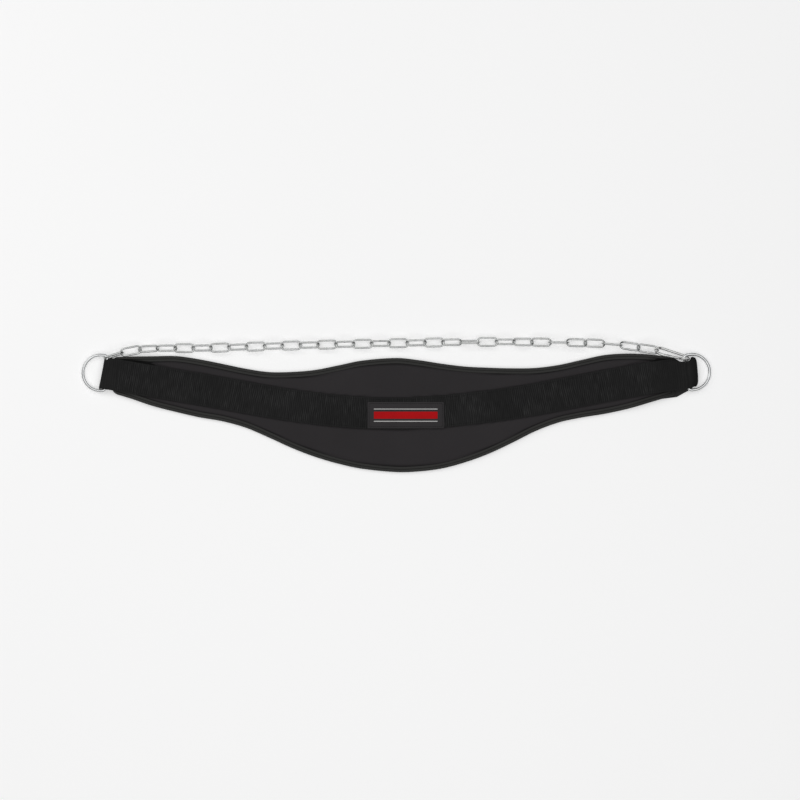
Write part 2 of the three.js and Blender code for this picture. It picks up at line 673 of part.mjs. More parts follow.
function hookGate() {
  const from = HINGE_OFFSET + HOOK_WIRE / 2 + 2 * CLEARANCE;
  const to = noseStart - CLEARANCE;
  const rod = solid(wire([onSide(from), onSide(to)], HOOK_WIRE / 2, HOOK_SIDES, false));
  const tongueEnd = from + HOOK_WIRE / 2;
  const tongue = solid(pinPlate(HINGE_OFFSET + CLEARANCE, tongueEnd, eyeRadius, TONGUE_THICKNESS / 2));
  const lapStart = noseStart - LAP_LENGTH - CLEARANCE;
  const lap = sideBlock(lapStart, noseStart + CLEARANCE, -CLEARANCE / 2, CUT_REACH, CUT_REACH);
  return piece('hook_gate', geometryOf(rod.add(tongue).subtract(pinHole()).subtract(lap)), steel);
}

function hookRivet() {
  const shaft = PIN_DIAMETER / 2;
  const head = PIN_HEAD_DIAMETER / 2;
  const under = cheekHalf + CLEARANCE;
  const over = under + PIN_HEAD_THICKNESS;
  const flat = head * PIN_HEAD_FLAT;
  const lower = [[0, -over], [flat, -over], [head, -under], [shaft, -under]];
  const upper = lower.map(([x, y]) => [x, -y]).reverse();
  const profile = [...lower, ...upper].map(([x, y]) => new THREE.Vector2(x, y));
  const geometry = new THREE.LatheGeometry(profile, PIN_SIDES);
  geometry.rotateX(quarterTurn);
  return piece('hook_rivet', atHinge(geometry), steel);
}

// The hook lies rolled on its side with the gate up, its narrow bend round the right ring's bar.
function hook() {
  const roll = degrees(HOOK_ROLL);
  const seat = insideRing('right', hookSeat);
  const wideEnd = seat.x - HOOK_LENGTH;
  const heading = Math.atan2(padTop(wideEnd) + HOOK_PAD_GAP - seat.y, wideEnd - seat.x);
  const height = (radius) => HOOK_WIRE / 2 + radius * Math.sin(roll);
  const climb = Math.asin((height(HOOK_WIDE_RADIUS) - height(HOOK_NARROW_RADIUS)) / hookReach);
  const way = new THREE.Vector3(Math.cos(heading), Math.sin(heading), 0);
  way.multiplyScalar(Math.cos(climb)).setZ(Math.sin(climb));
  const level = new THREE.Vector3(Math.sin(heading), -Math.cos(heading), 0);
  const up = new THREE.Vector3().crossVectors(level, way);
  const across = level.clone().multiplyScalar(-Math.cos(roll)).addScaledVector(up, Math.sin(roll));
  const normal = new THREE.Vector3().crossVectors(way, across);
  const group = new THREE.Group();
  group.add(hookBody(), hookGate(), hookRivet());
  group.applyMatrix4(new THREE.Matrix4().makeBasis(way, across, normal));
  group.position.copy(seat).addScaledVector(way, HOOK_NARROW_RADIUS);
  group.position.setZ(height(HOOK_NARROW_RADIUS));
  group.updateMatrixWorld(true);
  return group;
}

const belt = new THREE.Group();
belt.add(backPad(), edgeTape(), strap(), label(), ring('left'), ring('right'));
const snapHook = hook();
belt.add(snapHook);
const chainStart = insideRing('left', linkSeat);
const lastReach = hookReach + HOOK_WIDE_RADIUS - HOOK_WIRE / 2 - 2 * CLEARANCE - LINK_WIRE / 2;
belt.add(chain(chainStart, snapHook.localToWorld(new THREE.Vector3(lastReach, 0, 0))));

// The origin is on the surface under the middle of the whole belt.
const bounds = new THREE.Box3().setFromObject(belt, true);
const middle = bounds.getCenter(new THREE.Vector3());
belt.position.set(-middle.x, -middle.y, -bounds.min.z);

export default belt;
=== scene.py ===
"""Looks of a dip belt that lies flat, strap side up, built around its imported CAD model. All lengths are in metres."""

import math

import bpy
import numpy as np
from mathutils import Matrix, Vector, noise


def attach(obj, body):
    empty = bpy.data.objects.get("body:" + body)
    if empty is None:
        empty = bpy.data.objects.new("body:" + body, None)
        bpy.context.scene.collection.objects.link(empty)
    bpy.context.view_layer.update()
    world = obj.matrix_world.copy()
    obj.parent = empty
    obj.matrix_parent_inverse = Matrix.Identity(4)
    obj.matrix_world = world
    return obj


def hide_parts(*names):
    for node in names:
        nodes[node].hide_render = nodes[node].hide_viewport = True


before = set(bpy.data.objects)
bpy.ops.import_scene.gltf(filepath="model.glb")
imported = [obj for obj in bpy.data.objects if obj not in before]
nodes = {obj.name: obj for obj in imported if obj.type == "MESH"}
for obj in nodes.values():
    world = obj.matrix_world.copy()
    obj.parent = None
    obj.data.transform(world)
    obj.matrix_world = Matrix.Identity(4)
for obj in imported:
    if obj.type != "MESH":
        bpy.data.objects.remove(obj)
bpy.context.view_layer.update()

MM = 0.001

# ---- Sizes of the belt, as its CAD model has them
HALF_SPAN = 446.5 * MM          # half the way between the two rings' bars
BELT_SHIFT = 49.521 * MM        # from the strap's end height to the middle of the whole belt
STRAP_SAG = 63.5 * MM
PAD_HEIGHT = 176 * MM
PAD_END_HEIGHT = 91.5 * MM
PAD_END_SHARE = 0.26
PAD_THICKNESS = 8 * MM
PAD_LEFT = -HALF_SPAN + 7 * MM
PAD_RIGHT = HALF_SPAN - 18 * MM
PAD_CORNER = 11 * MM
PAD_SHARP_CORNER = 3.5 * MM     # the right end's two
PAD_EDGE_TOP = 5.9 * MM         # the pad's own edge inside the tape
SHOULDER_START = 9.3 * MM
SHOULDER_END = 16 * MM
TAPE_WIDTH = 9 * MM
TAPE_THICKNESS = 0.9 * MM
STRAP_WIDTH = 49 * MM
STRAP_THICKNESS = 2 * MM
STRAP_RETURN = 46 * MM
STRAP_REST = 12 * MM
STRAP_RAMP = 34 * MM
LOOP_BLEND = 42 * MM
LOOP_SLACK_LEFT = -5.5 * MM
LOOP_SLACK_RIGHT = 13.6 * MM
GAP = 0.3 * MM
RING_WIRE = 4.8 * MM
RING_RADIUS = 27.4 * MM         # of the wire's centre line
RING_STRAIGHT = 9.5 * MM
RING_CORNER = 5 * MM
RING_BAR_HEIGHT = 8 * MM
RING_TURNS = {"left": math.radians(4), "right": math.radians(-8)}
LINK_WIRE = 3 * MM
LINK_RADIUS = 6.25 * MM         # of the bends' centre line
LINK_PITCH = 27.4 * MM
HOOK_WIRE = 4.2 * MM
HOOK_LENGTH = 58 * MM
HOOK_NARROW = 6.4 * MM
HOOK_WIDE = 11.5 * MM
HOOK_REACH = HOOK_LENGTH - HOOK_WIRE - HOOK_NARROW - HOOK_WIDE
HOOK_FLARE = math.asin((HOOK_WIDE - HOOK_NARROW) / HOOK_REACH)
HINGE_OFFSET = 6.5 * MM
LAP_LENGTH = 3 * MM
NOSE_LENGTH = 5 * MM
LABEL_LENGTH = 117.5 * MM
LABEL_OFFSET = 14.4 * MM        # to the right of the belt's middle
LABEL_HEIGHT = 40.5 * MM

# Belt sections: way from the left ring to the right one, the strap's drop, the pad's reach above and below it.
BELT_SECTIONS = [
    (-1.00, 0.020, 0.140, 0.160), (-0.92, 0.120, 0.183, 0.183), (-0.84, 0.215, 0.220, 0.217),
    (-0.76, 0.310, 0.256, 0.235), (-0.68, 0.405, 0.262, 0.247), (-0.60, 0.505, 0.258, 0.246),
    (-0.52, 0.605, 0.252, 0.266), (-0.44, 0.708, 0.260, 0.315), (-0.36, 0.797, 0.293, 0.375),
    (-0.28, 0.873, 0.338, 0.425), (-0.20, 0.930, 0.398, 0.464), (-0.12, 0.973, 0.455, 0.492),
    (0.00, 1.000, 0.488, 0.512), (0.08, 0.980, 0.461, 0.513), (0.16, 0.945, 0.417, 0.499),
    (0.24, 0.887, 0.372, 0.465), (0.32, 0.820, 0.338, 0.415), (0.40, 0.743, 0.305, 0.348),
    (0.48, 0.650, 0.275, 0.280), (0.56, 0.543, 0.262, 0.243), (0.64, 0.435, 0.268, 0.238),
    (0.72, 0.328, 0.272, 0.244), (0.80, 0.225, 0.247, 0.237), (0.88, 0.128, 0.203, 0.213),
    (0.95, 0.058, 0.155, 0.184), (1.00, 0.010, 0.135, 0.158),
]
# How far each loop stands off its bar, from the strap's lower (-1) to its upper edge (1), as a share of its slack.
LEFT_SLACK = [(-1, 1), (0, 0.43), (1, 0)]
RIGHT_SLACK = [(-1, 0.56), (-0.85, 0.76), (-0.6, 0.87), (0, 0.96), (0.6, 1), (0.82, 0.97), (0.92, 0.89), (1, 0.66)]


# ---- Lines and heights
def smooth_line(rows, column=1):
    """A smooth line through a table's column, as a function of its first column."""
    keys = np.array([row[0] for row in rows], float)
    values = np.array([row[column] for row in rows], float)
    slopes = np.empty_like(values)
    slopes[1:-1] = (values[2:] - values[:-2]) / (keys[2:] - keys[:-2])
    slopes[0] = (values[1] - values[0]) / (keys[1] - keys[0])
    slopes[-1] = (values[-1] - values[-2]) / (keys[-1] - keys[-2])

    def at(x):
        i = np.clip(np.searchsorted(keys, x, side="right") - 1, 0, len(keys) - 2)
        span = keys[i + 1] - keys[i]
        t = np.clip((x - keys[i]) / span, 0, 1)
        rise = values[i + 1] - values[i]
        first, second = slopes[i] * span, slopes[i + 1] * span
        return values[i] + t * (first + t * (3 * rise - 2 * first - second + t * (first + second - 2 * rise)))

    return at


def smoothstep(low, high, x):
    t = np.clip((x - low) / (high - low), 0, 1)
    return t * t * (3 - 2 * t)


def hump(x, middle, width):
    """1 in the middle, fading out on either side."""
    return np.exp(-(((x - middle) / width) ** 2))


strap_drop, reach_above, reach_below = (smooth_line(BELT_SECTIONS, column) for column in (1, 2, 3))
left_slack, right_slack = smooth_line(LEFT_SLACK), smooth_line(RIGHT_SLACK)
EVEN_SCALE = PAD_END_HEIGHT / (2 * PAD_END_SHARE)
BELLY_SCALE = (PAD_HEIGHT - PAD_END_HEIGHT) / (1 - 2 * PAD_END_SHARE)


def strap_y(x):
    return BELT_SHIFT - STRAP_SAG * strap_drop(x / HALF_SPAN)


def slope_of(line, x):
    return (line(x + MM) - line(x - MM)) / (2 * MM)


def pad_edge(side, x):
    """The pad's upper (1) or lower (-1) edge."""
    share = (reach_above if side > 0 else reach_below)(x / HALF_SPAN)
    even = np.minimum(share, PAD_END_SHARE)
    return strap_y(x) + side * (even * EVEN_SCALE + (share - even) * BELLY_SCALE)


def upper_edge(x):
    return pad_edge(1, x)


def lower_edge(x):
    return pad_edge(-1, x)


def pad_base(x):
    """Height of the pad's back: on the floor in the middle, on the strap's turned-back ends at both ends."""
    left = PAD_LEFT + STRAP_RETURN + STRAP_REST
    right = PAD_RIGHT - STRAP_RETURN - STRAP_REST
    lift = 1 - smoothstep(left, left + STRAP_RAMP, x) + smoothstep(right - STRAP_RAMP, right, x)
    return (STRAP_THICKNESS + GAP) * lift


def unevenness(points, size, seed):
    """A soft random height between about -1 and 1 for each point, in hollows and humps of this size."""
    offset = Vector((seed * 13.7, seed * 5.3, seed * 9.1))
    return np.array([noise.noise(Vector(p) / size + offset) for p in points])


# ---- Making and finishing meshes
def nothing_selected():
    if bpy.context.object and bpy.context.object.mode != "OBJECT":
        bpy.ops.object.mode_set(mode="OBJECT")
    bpy.ops.object.select_all(action="DESELECT")


def pick(obj):
    nothing_selected()
    obj.select_set(True)
    bpy.context.view_layer.objects.active = obj


def named(name):
    obj = bpy.context.object
    obj.name = name
    obj.data.name = name
    return obj


def start_from(primitive, name, **settings):
    """A piece's first primitive, added at its size and place with nothing else selected."""
    nothing_selected()
    primitive(**settings)
    return named(name)


def settle(obj):
    """Puts the object's place, turn and size into its mesh."""
    pick(obj)
    bpy.ops.object.transform_apply(location=True, rotation=True, scale=True)
    return obj


def points_of(obj):
    flat = np.empty(len(obj.data.vertices) * 3, np.float32)
    obj.data.vertices.foreach_get("co", flat)
    return flat.reshape(-1, 3).astype(float)


def set_points(obj, points):
    obj.data.vertices.foreach_set("co", np.asarray(points, np.float32).ravel())
    obj.data.update()


def apply_modifier(obj, name, kind, **settings):
    modifier = obj.modifiers.new(name, kind)
    for key, value in settings.items():
        setattr(modifier, key, value)
    pick(obj)
    bpy.ops.object.modifier_apply(modifier=name)


def round_edges(obj, width, angle):
    apply_modifier(
        obj, "edges", "BEVEL", width=width, segments=2, limit_method="ANGLE", angle_limit=math.radians(angle)
    )


def edit(obj, *steps):
    """Runs edit-mode operators one after another, each on the whole mesh."""
    pick(obj)
    bpy.ops.object.mode_set(mode="EDIT")
    for step in steps:
        bpy.ops.mesh.select_all(action="SELECT")
        step()
    bpy.ops.object.mode_set(mode="OBJECT")


def face_out():
    bpy.ops.mesh.normals_make_consistent(inside=False)


def smooth_faces(obj, angle):
    pick(obj)
    bpy.ops.object.shade_smooth_by_angle(angle=math.radians(angle))


def flat_grid(name, columns, rows, place):
    """A flat grid laid out as a shape: place turns its (u, v), both from 0 to 1, into points."""
    obj = start_from(bpy.ops.mesh.primitive_grid_add, name, x_subdivisions=columns, y_subdivisions=rows, size=1)
    flat = points_of(obj) + 0.5
    set_points(obj, np.stack(place(np.clip(flat[:, 0], 0, 1), np.clip(flat[:, 1], 0, 1)), axis=1))
    return obj


# Stores how much shade is painted on each point, for the cloth finishes.
def mark_painted_shade(obj, depth):
    attribute = obj.data.attributes.new("painted_shade", "FLOAT", "POINT")
    attribute.data.foreach_set("value", np.clip(depth, 0, 1).astype(np.float32))


def finish_piece(obj, body, finish, slot, *replaced):
    obj.data.materials.clear()
    obj.data.materials.append(finish)
    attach(obj, body)
    if replaced:
        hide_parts(*replaced)
    return obj


# ---- Mixing materials
def sum_of(operation, reflected=False):
    """An operator of Amount, worked out by a Math node."""
    def worked(amount, *others):
        return amount.math(operation, *((*others, amount) if reflected else (amount, *others)))

    return worked


class Amount:
    """A number that varies over a surface. Sums on it add Math nodes."""

    __add__, __radd__ = sum_of("ADD"), sum_of("ADD", reflected=True)
    __sub__, __rsub__ = sum_of("SUBTRACT"), sum_of("SUBTRACT", reflected=True)
    __mul__, __rmul__ = sum_of("MULTIPLY"), sum_of("MULTIPLY", reflected=True)
    __gt__, __abs__ = sum_of("GREATER_THAN"), sum_of("ABSOLUTE")

    def __init__(self, finish, socket):
        self.finish = finish
        self.socket = socket

    def math(self, operation, *values):
        node = self.finish.node("ShaderNodeMath", {"operation": operation}, dict(enumerate(values)))
        return Amount(self.finish, node.outputs[0])

    def wave(self):
        """Sine of the amount, from 0 to 1."""
        return self.math("SINE", self) * 0.5 + 0.5

    def between(self, low, high):
        """0 below low, 1 above high and smooth in between."""
        node = self.finish.node(
            "ShaderNodeMapRange",
            {"interpolation_type": "SMOOTHSTEP"},
            {"Value": self, "From Min": low, "From Max": high},
        )
        return Amount(self.finish, node.outputs[0])


class Finish:
    """A material and the nodes that it is mixed from."""

    def __init__(self, name, **constants):
        self.material = bpy.data.materials.new(name)
        self.material.use_nodes = True
        self.tree = self.material.node_tree
        self.surface = self.tree.nodes["Principled BSDF"]
        for key, value in constants.items():
            self.surface.inputs[key.replace("_", " ")].default_value = value

    def node(self, kind, settings=None, inputs=None):
        node = self.tree.nodes.new(kind)
        for key, value in (settings or {}).items():
            if key == "stops":
                self.set_stops(node.color_ramp, value)
            else:
                setattr(node, key, value)
        for key, value in (inputs or {}).items():
            self.feed(node.inputs[key], value)
        return node

    def feed(self, socket, value):
        if isinstance(value, Amount):
            value = value.socket
        if isinstance(value, bpy.types.NodeSocket):
            self.tree.links.new(value, socket)
        else:
            socket.default_value = value

    def set_stops(self, ramp, stops):
        while len(ramp.elements) > 1:
            ramp.elements.remove(ramp.elements[-1])
        for number, (position, colour) in enumerate(stops):
            element = ramp.elements[0] if number == 0 else ramp.elements.new(position)
            element.position = position
            element.color = (*colour, 1)

    def place(self, scale=(1, 1, 1), uv=False):
        """The object's own coordinates, or its UV map's, stretched by scale."""
        where = self.node("ShaderNodeTexCoord").outputs["UV" if uv else "Object"]
        mapping = self.node("ShaderNodeMapping", None, {"Vector": where, "Scale": scale})
        return mapping.outputs[0]

    def axis(self, where, name):
        split = self.node("ShaderNodeSeparateXYZ", None, {"Vector": where})
        return Amount(self, split.outputs[name])

    def clouds(self, where, scale, detail=3.0, roughness=0.5):
        node = self.node(
            "ShaderNodeTexNoise", None, {"Vector": where, "Scale": scale, "Detail": detail, "Roughness": roughness}
        )
        return Amount(self, node.outputs[0])

    def cells(self, where, scale):
        return Amount(self, self.node("ShaderNodeTexVoronoi", None, {"Vector": where, "Scale": scale}).outputs[0])

    def painted_shade(self):
        """How much shade is painted on a point, in a gap or beside an edge that shades it, from 0 to 1."""
        return Amount(self, self.node("ShaderNodeAttribute", {"attribute_name": "painted_shade"}).outputs["Fac"])

    def tones(self, amount, *stops):
        return self.node("ShaderNodeValToRGB", {"stops": stops}, {"Fac": amount}).outputs[0]

    def blend(self, amount, base, colour):
        """A colour laid over a base by a varying amount."""
        node = self.node("ShaderNodeMix", {"data_type": "RGBA"}, {"Factor": amount, 6: base, 7: (*colour, 1)})
        return node.outputs[2]

    def relief(self, amount, height, strength=1.0, under=None):
        inputs = {"Height": amount, "Distance": height, "Strength": strength}
        if under is not None:
            inputs["Normal"] = under
        return self.node("ShaderNodeBump", None, inputs).outputs[0]

    def set(self, **values):
        for key, value in values.items():
            self.feed(self.surface.inputs[key.replace("_", " ")], value)
        return self.material


def grey(tone):
    return (tone, tone, tone)


def purplish(tone):
    return (tone * 1.07, tone * 0.98, tone * 1.04)


# The near-black colour of the painted shade in gaps and beside edges.
PAINTED_SHADE_COLOUR = grey(0.004)


def pad_cloth():
    """Black knitted face cloth over foam: a fine two-way weave, a soft nap, faint wear in broad patches, lint specks,
    and painted shade in the gaps beside the strap and the tape.
    """
    finish = Finish("pad_cloth", Specular_IOR_Level=0.16, Sheen_Weight=0.05, Sheen_Roughness=0.5)
    where = finish.place()
    thread = 2 * math.pi / (1.1 * MM)
    across = (finish.axis(where, "X") * thread).wave()
    along = (finish.axis(where, "Y") * thread).wave()
    knit = across * along
    nap = finish.clouds(where, 900, 2.0)
    patches = finish.clouds(where, 9, 4.0, 0.6)
    lint = finish.cells(where, 260).between(0.07, 0.03) * (finish.clouds(where, 60) > 0.62)
    tone = patches * 0.5 + nap * 0.25 + knit * 0.25
    base = finish.tones(tone, (0.25, purplish(0.029)), (0.55, purplish(0.0365)), (0.8, purplish(0.045)))
    dusty = finish.blend(lint * 0.3, base, grey(0.08))
    # Painted shade: the marked gaps beside the strap and the tape are darkened.
    colour = finish.blend(finish.painted_shade(), dusty, PAINTED_SHADE_COLOUR)
    fine = finish.relief(knit, 0.12 * MM, 0.55)
    rough = finish.relief(nap, 0.1 * MM, 0.35, fine)
    return finish.set(Base_Color=colour, Roughness=0.82 + patches * 0.14, Normal=rough)


def tape_cloth():
    """Black ribbed binding tape: ribs along the tape, lighter and darker patches, painted shade along its inner edge
    and in the groove by the seam, and painted shade in the marked gaps beside the strap.
    """
    finish = Finish("tape_cloth", Specular_IOR_Level=0.16, Sheen_Weight=0.04, Sheen_Roughness=0.5)
    where = finish.place((1, 1, 1), uv=True)
    ribs = (finish.axis(where, "X") * (2 * math.pi * 1250)).wave()
    edge = finish.axis(where, "Y")
    # Painted shade along the tape's inner edge, where it steps down to the pad.
    inner_edge_shade = 1 - edge.between(0.015, 0.06)
    # Painted shade in the groove by the seam.
    seam = edge.between(0.22, 0.265) * (1 - edge.between(0.275, 0.32))
    nap = finish.clouds(finish.place(), 1100, 2.0)
    patches = finish.clouds(finish.place(), 24, 4.0, 0.6)
    tone = 0.58 + nap * 0.2 + patches * 0.35 - inner_edge_shade * 0.7 - seam * 0.6
    base = finish.tones(tone, (0.15, grey(0.008)), (0.5, (0.028, 0.028, 0.027)), (0.9, (0.044, 0.044, 0.042)))
    fine = finish.relief(ribs, 0.14 * MM, 0.5)
    rough = finish.relief(nap, 0.08 * MM, 0.4, fine)
    # Painted shade from the marked gaps beside the strap.
    colour = finish.blend(finish.painted_shade(), base, PAINTED_SHADE_COLOUR)
    return finish.set(Base_Color=colour, Roughness=0.7 + patches * 0.2, Normal=rough)


def strap_webbing(length):
    """Black webbing: cross ribs of uneven depth, broken into short floats, with a tighter selvedge at each edge.
    It has painted shade where it turns round the right ring, and painted light makes the ends turned under the pad
    greyer."""
    finish = Finish("strap_webbing", Specular_IOR_Level=0.12, Sheen_Weight=0.03, Sheen_Roughness=0.4)
    where = finish.place((length, STRAP_WIDTH, 1), uv=True)
    along = finish.axis(where, "X")
    across = finish.axis(finish.place(uv=True), "Y")
    drift = finish.clouds(finish.place((length * 70, STRAP_WIDTH * 45, 1), uv=True), 1.0, 3.0)
    ribs = (along * (2 * math.pi / (2.9 * MM)) + drift * 9.0).wave()
    calm = finish.clouds(finish.place((length * 32, STRAP_WIDTH * 40, 1), uv=True), 1.0, 2.0).between(0.35, 0.6)
    floats = finish.clouds(finish.place((length * 420, STRAP_WIDTH * 60, 1), uv=True), 1.0, 2.0, 0.45)
    yarn = (finish.axis(where, "Y") * (2 * math.pi / (0.85 * MM))).wave()
    selvedge = abs(across - 0.5).between(0.455, 0.475)
    fading = along.between(FACE_END - 50 * MM, FACE_END)
    on_face = along.between(FACE_START - 4 * MM, FACE_START + 10 * MM) * (1 - fading)
    # Painted shade where the strap turns round the right ring.
    turned = along.between(TURN_START - 1.6 * MM, TURN_START) * (1 - along.between(TURN_END - 2 * MM, TURN_END + MM))
    # Painted light: the ends turned under the pad are lightened against the shade they lie in.
    under = along.between(TURN_END - MM, TURN_END + 3 * MM) + (1 - along.between(LEFT_TURN - 3 * MM, LEFT_TURN + MM))
    even = 0.62
    weave = even + (ribs * 0.45 + floats * 0.8 + yarn * 0.15 - even) * (0.45 + calm * 0.55) * (0.35 + on_face * 0.65)
    patches = finish.clouds(finish.place(), 14, 4.0, 0.6)
    tone = weave * 0.62 + patches * 0.3
    base = finish.tones(tone, (0.3, grey(0.005)), (0.52, grey(0.0145)), (0.68, grey(0.025)), (0.9, grey(0.052)))
    edged = finish.blend(selvedge * 0.5, base, grey(0.019))
    shaded = finish.blend(turned * 0.6, edged, grey(0.006))
    colour = finish.blend(under * 0.75, shaded, grey(0.042))
    coarse = finish.relief(weave, 0.35 * MM, 0.75)
    nap = finish.clouds(finish.place(), 1300, 2.0)
    rough = finish.relief(nap, 0.08 * MM, 0.4, coarse)
    return finish.set(Base_Color=colour, Roughness=0.72 + patches * 0.2, Normal=rough)


def woven(name, low, high, specular, shine):
    """A flat woven finish between two colours, such as a label's ground or its coloured bands."""
    finish = Finish(name, Specular_IOR_Level=specular, Sheen_Weight=0.05)
    where = finish.place()
    weft = (finish.axis(where, "Y") * (2 * math.pi / (0.45 * MM))).wave()
    warp = (finish.axis(where, "X") * (2 * math.pi / (0.6 * MM))).wave()
    satin = weft * 0.65 + warp * 0.35
    patches = finish.clouds(where, 55, 4.0, 0.6)
    base = finish.tones(satin * 0.4 + patches * 0.6, (0.3, low), (0.75, high))
    fine = finish.relief(satin, 0.08 * MM, 0.5)
    return finish.set(Base_Color=base, Roughness=shine + patches * 0.15, Normal=fine)


def thread_finish():
    """Black twisted sewing thread."""
    finish = Finish("sewing_thread", Specular_IOR_Level=0.15, Sheen_Weight=0.03)
    where = finish.place()
    twist = ((finish.axis(where, "X") + finish.axis(where, "Y")) * (2 * math.pi / (0.5 * MM))).wave()
    base = finish.tones(twist, (0.2, grey(0.006)), (0.8, grey(0.015)))
    return finish.set(Base_Color=base, Roughness=0.55 + twist * 0.2, Normal=finish.relief(twist, 0.06 * MM, 0.6))


def plated_metal(name, bright, dull, roughness, drawn):
    """Zinc plating on steel wire: bright with faint blotches, fine drawn lines, small pits and duller patches."""
    finish = Finish(name, Metallic=1.0)
    where = finish.place()
    blotches = finish.clouds(where, 130, 4.0, 0.62)
    lines = finish.clouds(finish.place((drawn, 1, 1)), 2600, 3.0, 0.6)
    pits = finish.cells(where, 520).between(0.12, 0.02) * (finish.clouds(where, 240) > 0.55)
    stain = finish.clouds(where, 38, 5.0, 0.65).between(0.52, 0.78)
    tone = blotches * 0.7 + lines * 0.3
    base = finish.tones(tone, (0.3, dull), (0.62, bright))
    stained = finish.blend(stain * 0.35, base, (0.42, 0.4, 0.36))
    colour = finish.blend(pits * 0.5, stained, (0.25, 0.24, 0.22))
    fine = finish.relief(lines, 0.03 * MM, 0.35)
    dented = finish.relief(1 - pits, 0.08 * MM, 0.4, fine)
    return finish.set(
        Base_Color=colour, Roughness=roughness + blotches * 0.14 + stain * 0.12 + pits * 0.1, Normal=dented
    )


PAD_CLOTH = pad_cloth()
TAPE_CLOTH = tape_cloth()
LABEL_GROUND = woven("label_ground", purplish(0.0295), purplish(0.041), 0.2, 0.62)
LABEL_RED = woven("label_red", (0.42, 0.002, 0.004), (0.62, 0.004, 0.007), 0.12, 0.6)
LABEL_WHITE = woven("label_white", (0.5, 0.5, 0.49), (0.8, 0.8, 0.79), 0.25, 0.55)
THREAD = thread_finish()
CHAIN_ZINC = plated_metal("chain_zinc", (0.76, 0.77, 0.76), (0.5, 0.51, 0.51), 0.16, 0.2)
RING_STEEL = plated_metal("ring_steel", (0.8, 0.81, 0.81), (0.6, 0.61, 0.62), 0.16, 0.25)
HOOK_STEEL = plated_metal("hook_steel", (0.8, 0.8, 0.79), (0.58, 0.59, 0.59), 0.15, 0.3)


# ---- Back pad
SWELL_PRESSURE = 4.0
SWELL_FRAMES = 20
SWELL_CAP = 1.1 * MM


def corner_cut(x, left, right, left_radius, right_radius):
    """How much a rounded corner takes off an edge, at each x."""
    near_left = np.clip(left_radius - (x - left), 0, left_radius)
    near_right = np.clip(right_radius - (right - x), 0, right_radius)
    cut_left = left_radius - np.sqrt(left_radius**2 - near_left**2)
    return cut_left + right_radius - np.sqrt(right_radius**2 - near_right**2)


def pad_place(u, v):
    """The pad's flat sheet: columns from its left to its right end, rows from its lower to its upper edge."""
    inset = TAPE_THICKNESS + GAP
    left, right = PAD_LEFT + inset, PAD_RIGHT - inset
    x = left + (right - left) * u
    radius, sharp = PAD_CORNER - inset, PAD_SHARP_CORNER - inset
    top = upper_edge(x) - inset * np.hypot(1, slope_of(upper_edge, x)) - corner_cut(x, left, right, radius, sharp)
    bottom = lower_edge(x) + inset * np.hypot(1, slope_of(lower_edge, x)) + corner_cut(x, left, right, radius, sharp)
    return x, bottom + (top - bottom) * v, np.zeros_like(x)


def edge_distance(x, y):
    """How far a point of the pad lies in from its nearest edge."""
    above = (upper_edge(x) - y) / np.hypot(1, slope_of(upper_edge, x))
    below = (y - lower_edge(x)) / np.hypot(1, slope_of(lower_edge, x))
    return np.minimum(np.minimum(above, below), np.minimum(x - PAD_LEFT, PAD_RIGHT - x))


def strap_share(x, y):
    """Where a point lies across the strap: -1 on its lower edge, 1 on its upper one."""
    return (y - strap_y(x)) / np.hypot(1, slope_of(strap_y, x)) / (STRAP_WIDTH / 2)


def groove(x, y):
    """How deep pad and tape are pressed in beside the strap: deepest above it, where it leaves for its loops."""
    across = strap_share(x, y)
    beside = np.abs(np.abs(across) - 1.05) * STRAP_WIDTH / 2
    ends = smoothstep(0.77, 0.84, np.abs(x) / HALF_SPAN) * (across > 0)
    return (0.8 + 2.8 * ends) * MM * hump(beside, 0, (2.4 + 0.9 * ends) * MM)


def wedge_shade(x, y):
    """How much shade is painted into the gap between the strap's upper edge and the pad, where the strap rises towards
    its loops.
    """
    across = strap_share(x, y)
    over = (across - 1) * STRAP_WIDTH / 2
    way = np.abs(x) / HALF_SPAN
    start = np.where(x < 0, 0.827, 0.88)
    tip = 4.5 * MM * smoothstep(0.98, 0.87, way) * smoothstep(start, start + 0.02, way)
    return 0.92 * (over > -3 * MM) * (1 - smoothstep(0.55, 1.15, over / np.maximum(tip, 1e-6))) * (tip > 0)


def pad_height(x, y, top):
    """Height of the pad's face or back over its base: thin at the taped edge, round shouldered and grooved."""
    depth = edge_distance(x, y)
    shoulder = np.clip((depth - SHOULDER_START) / (SHOULDER_END - SHOULDER_START), 0, 1)
    rise = np.sqrt(np.maximum(1 - (1 - shoulder) ** 2, 0))
    if not top:
        return 1.5 * MM * (1 - smoothstep(TAPE_WIDTH, SHOULDER_END, depth))
    return PAD_EDGE_TOP + (PAD_THICKNESS - PAD_EDGE_TOP) * rise - groove(x, y)


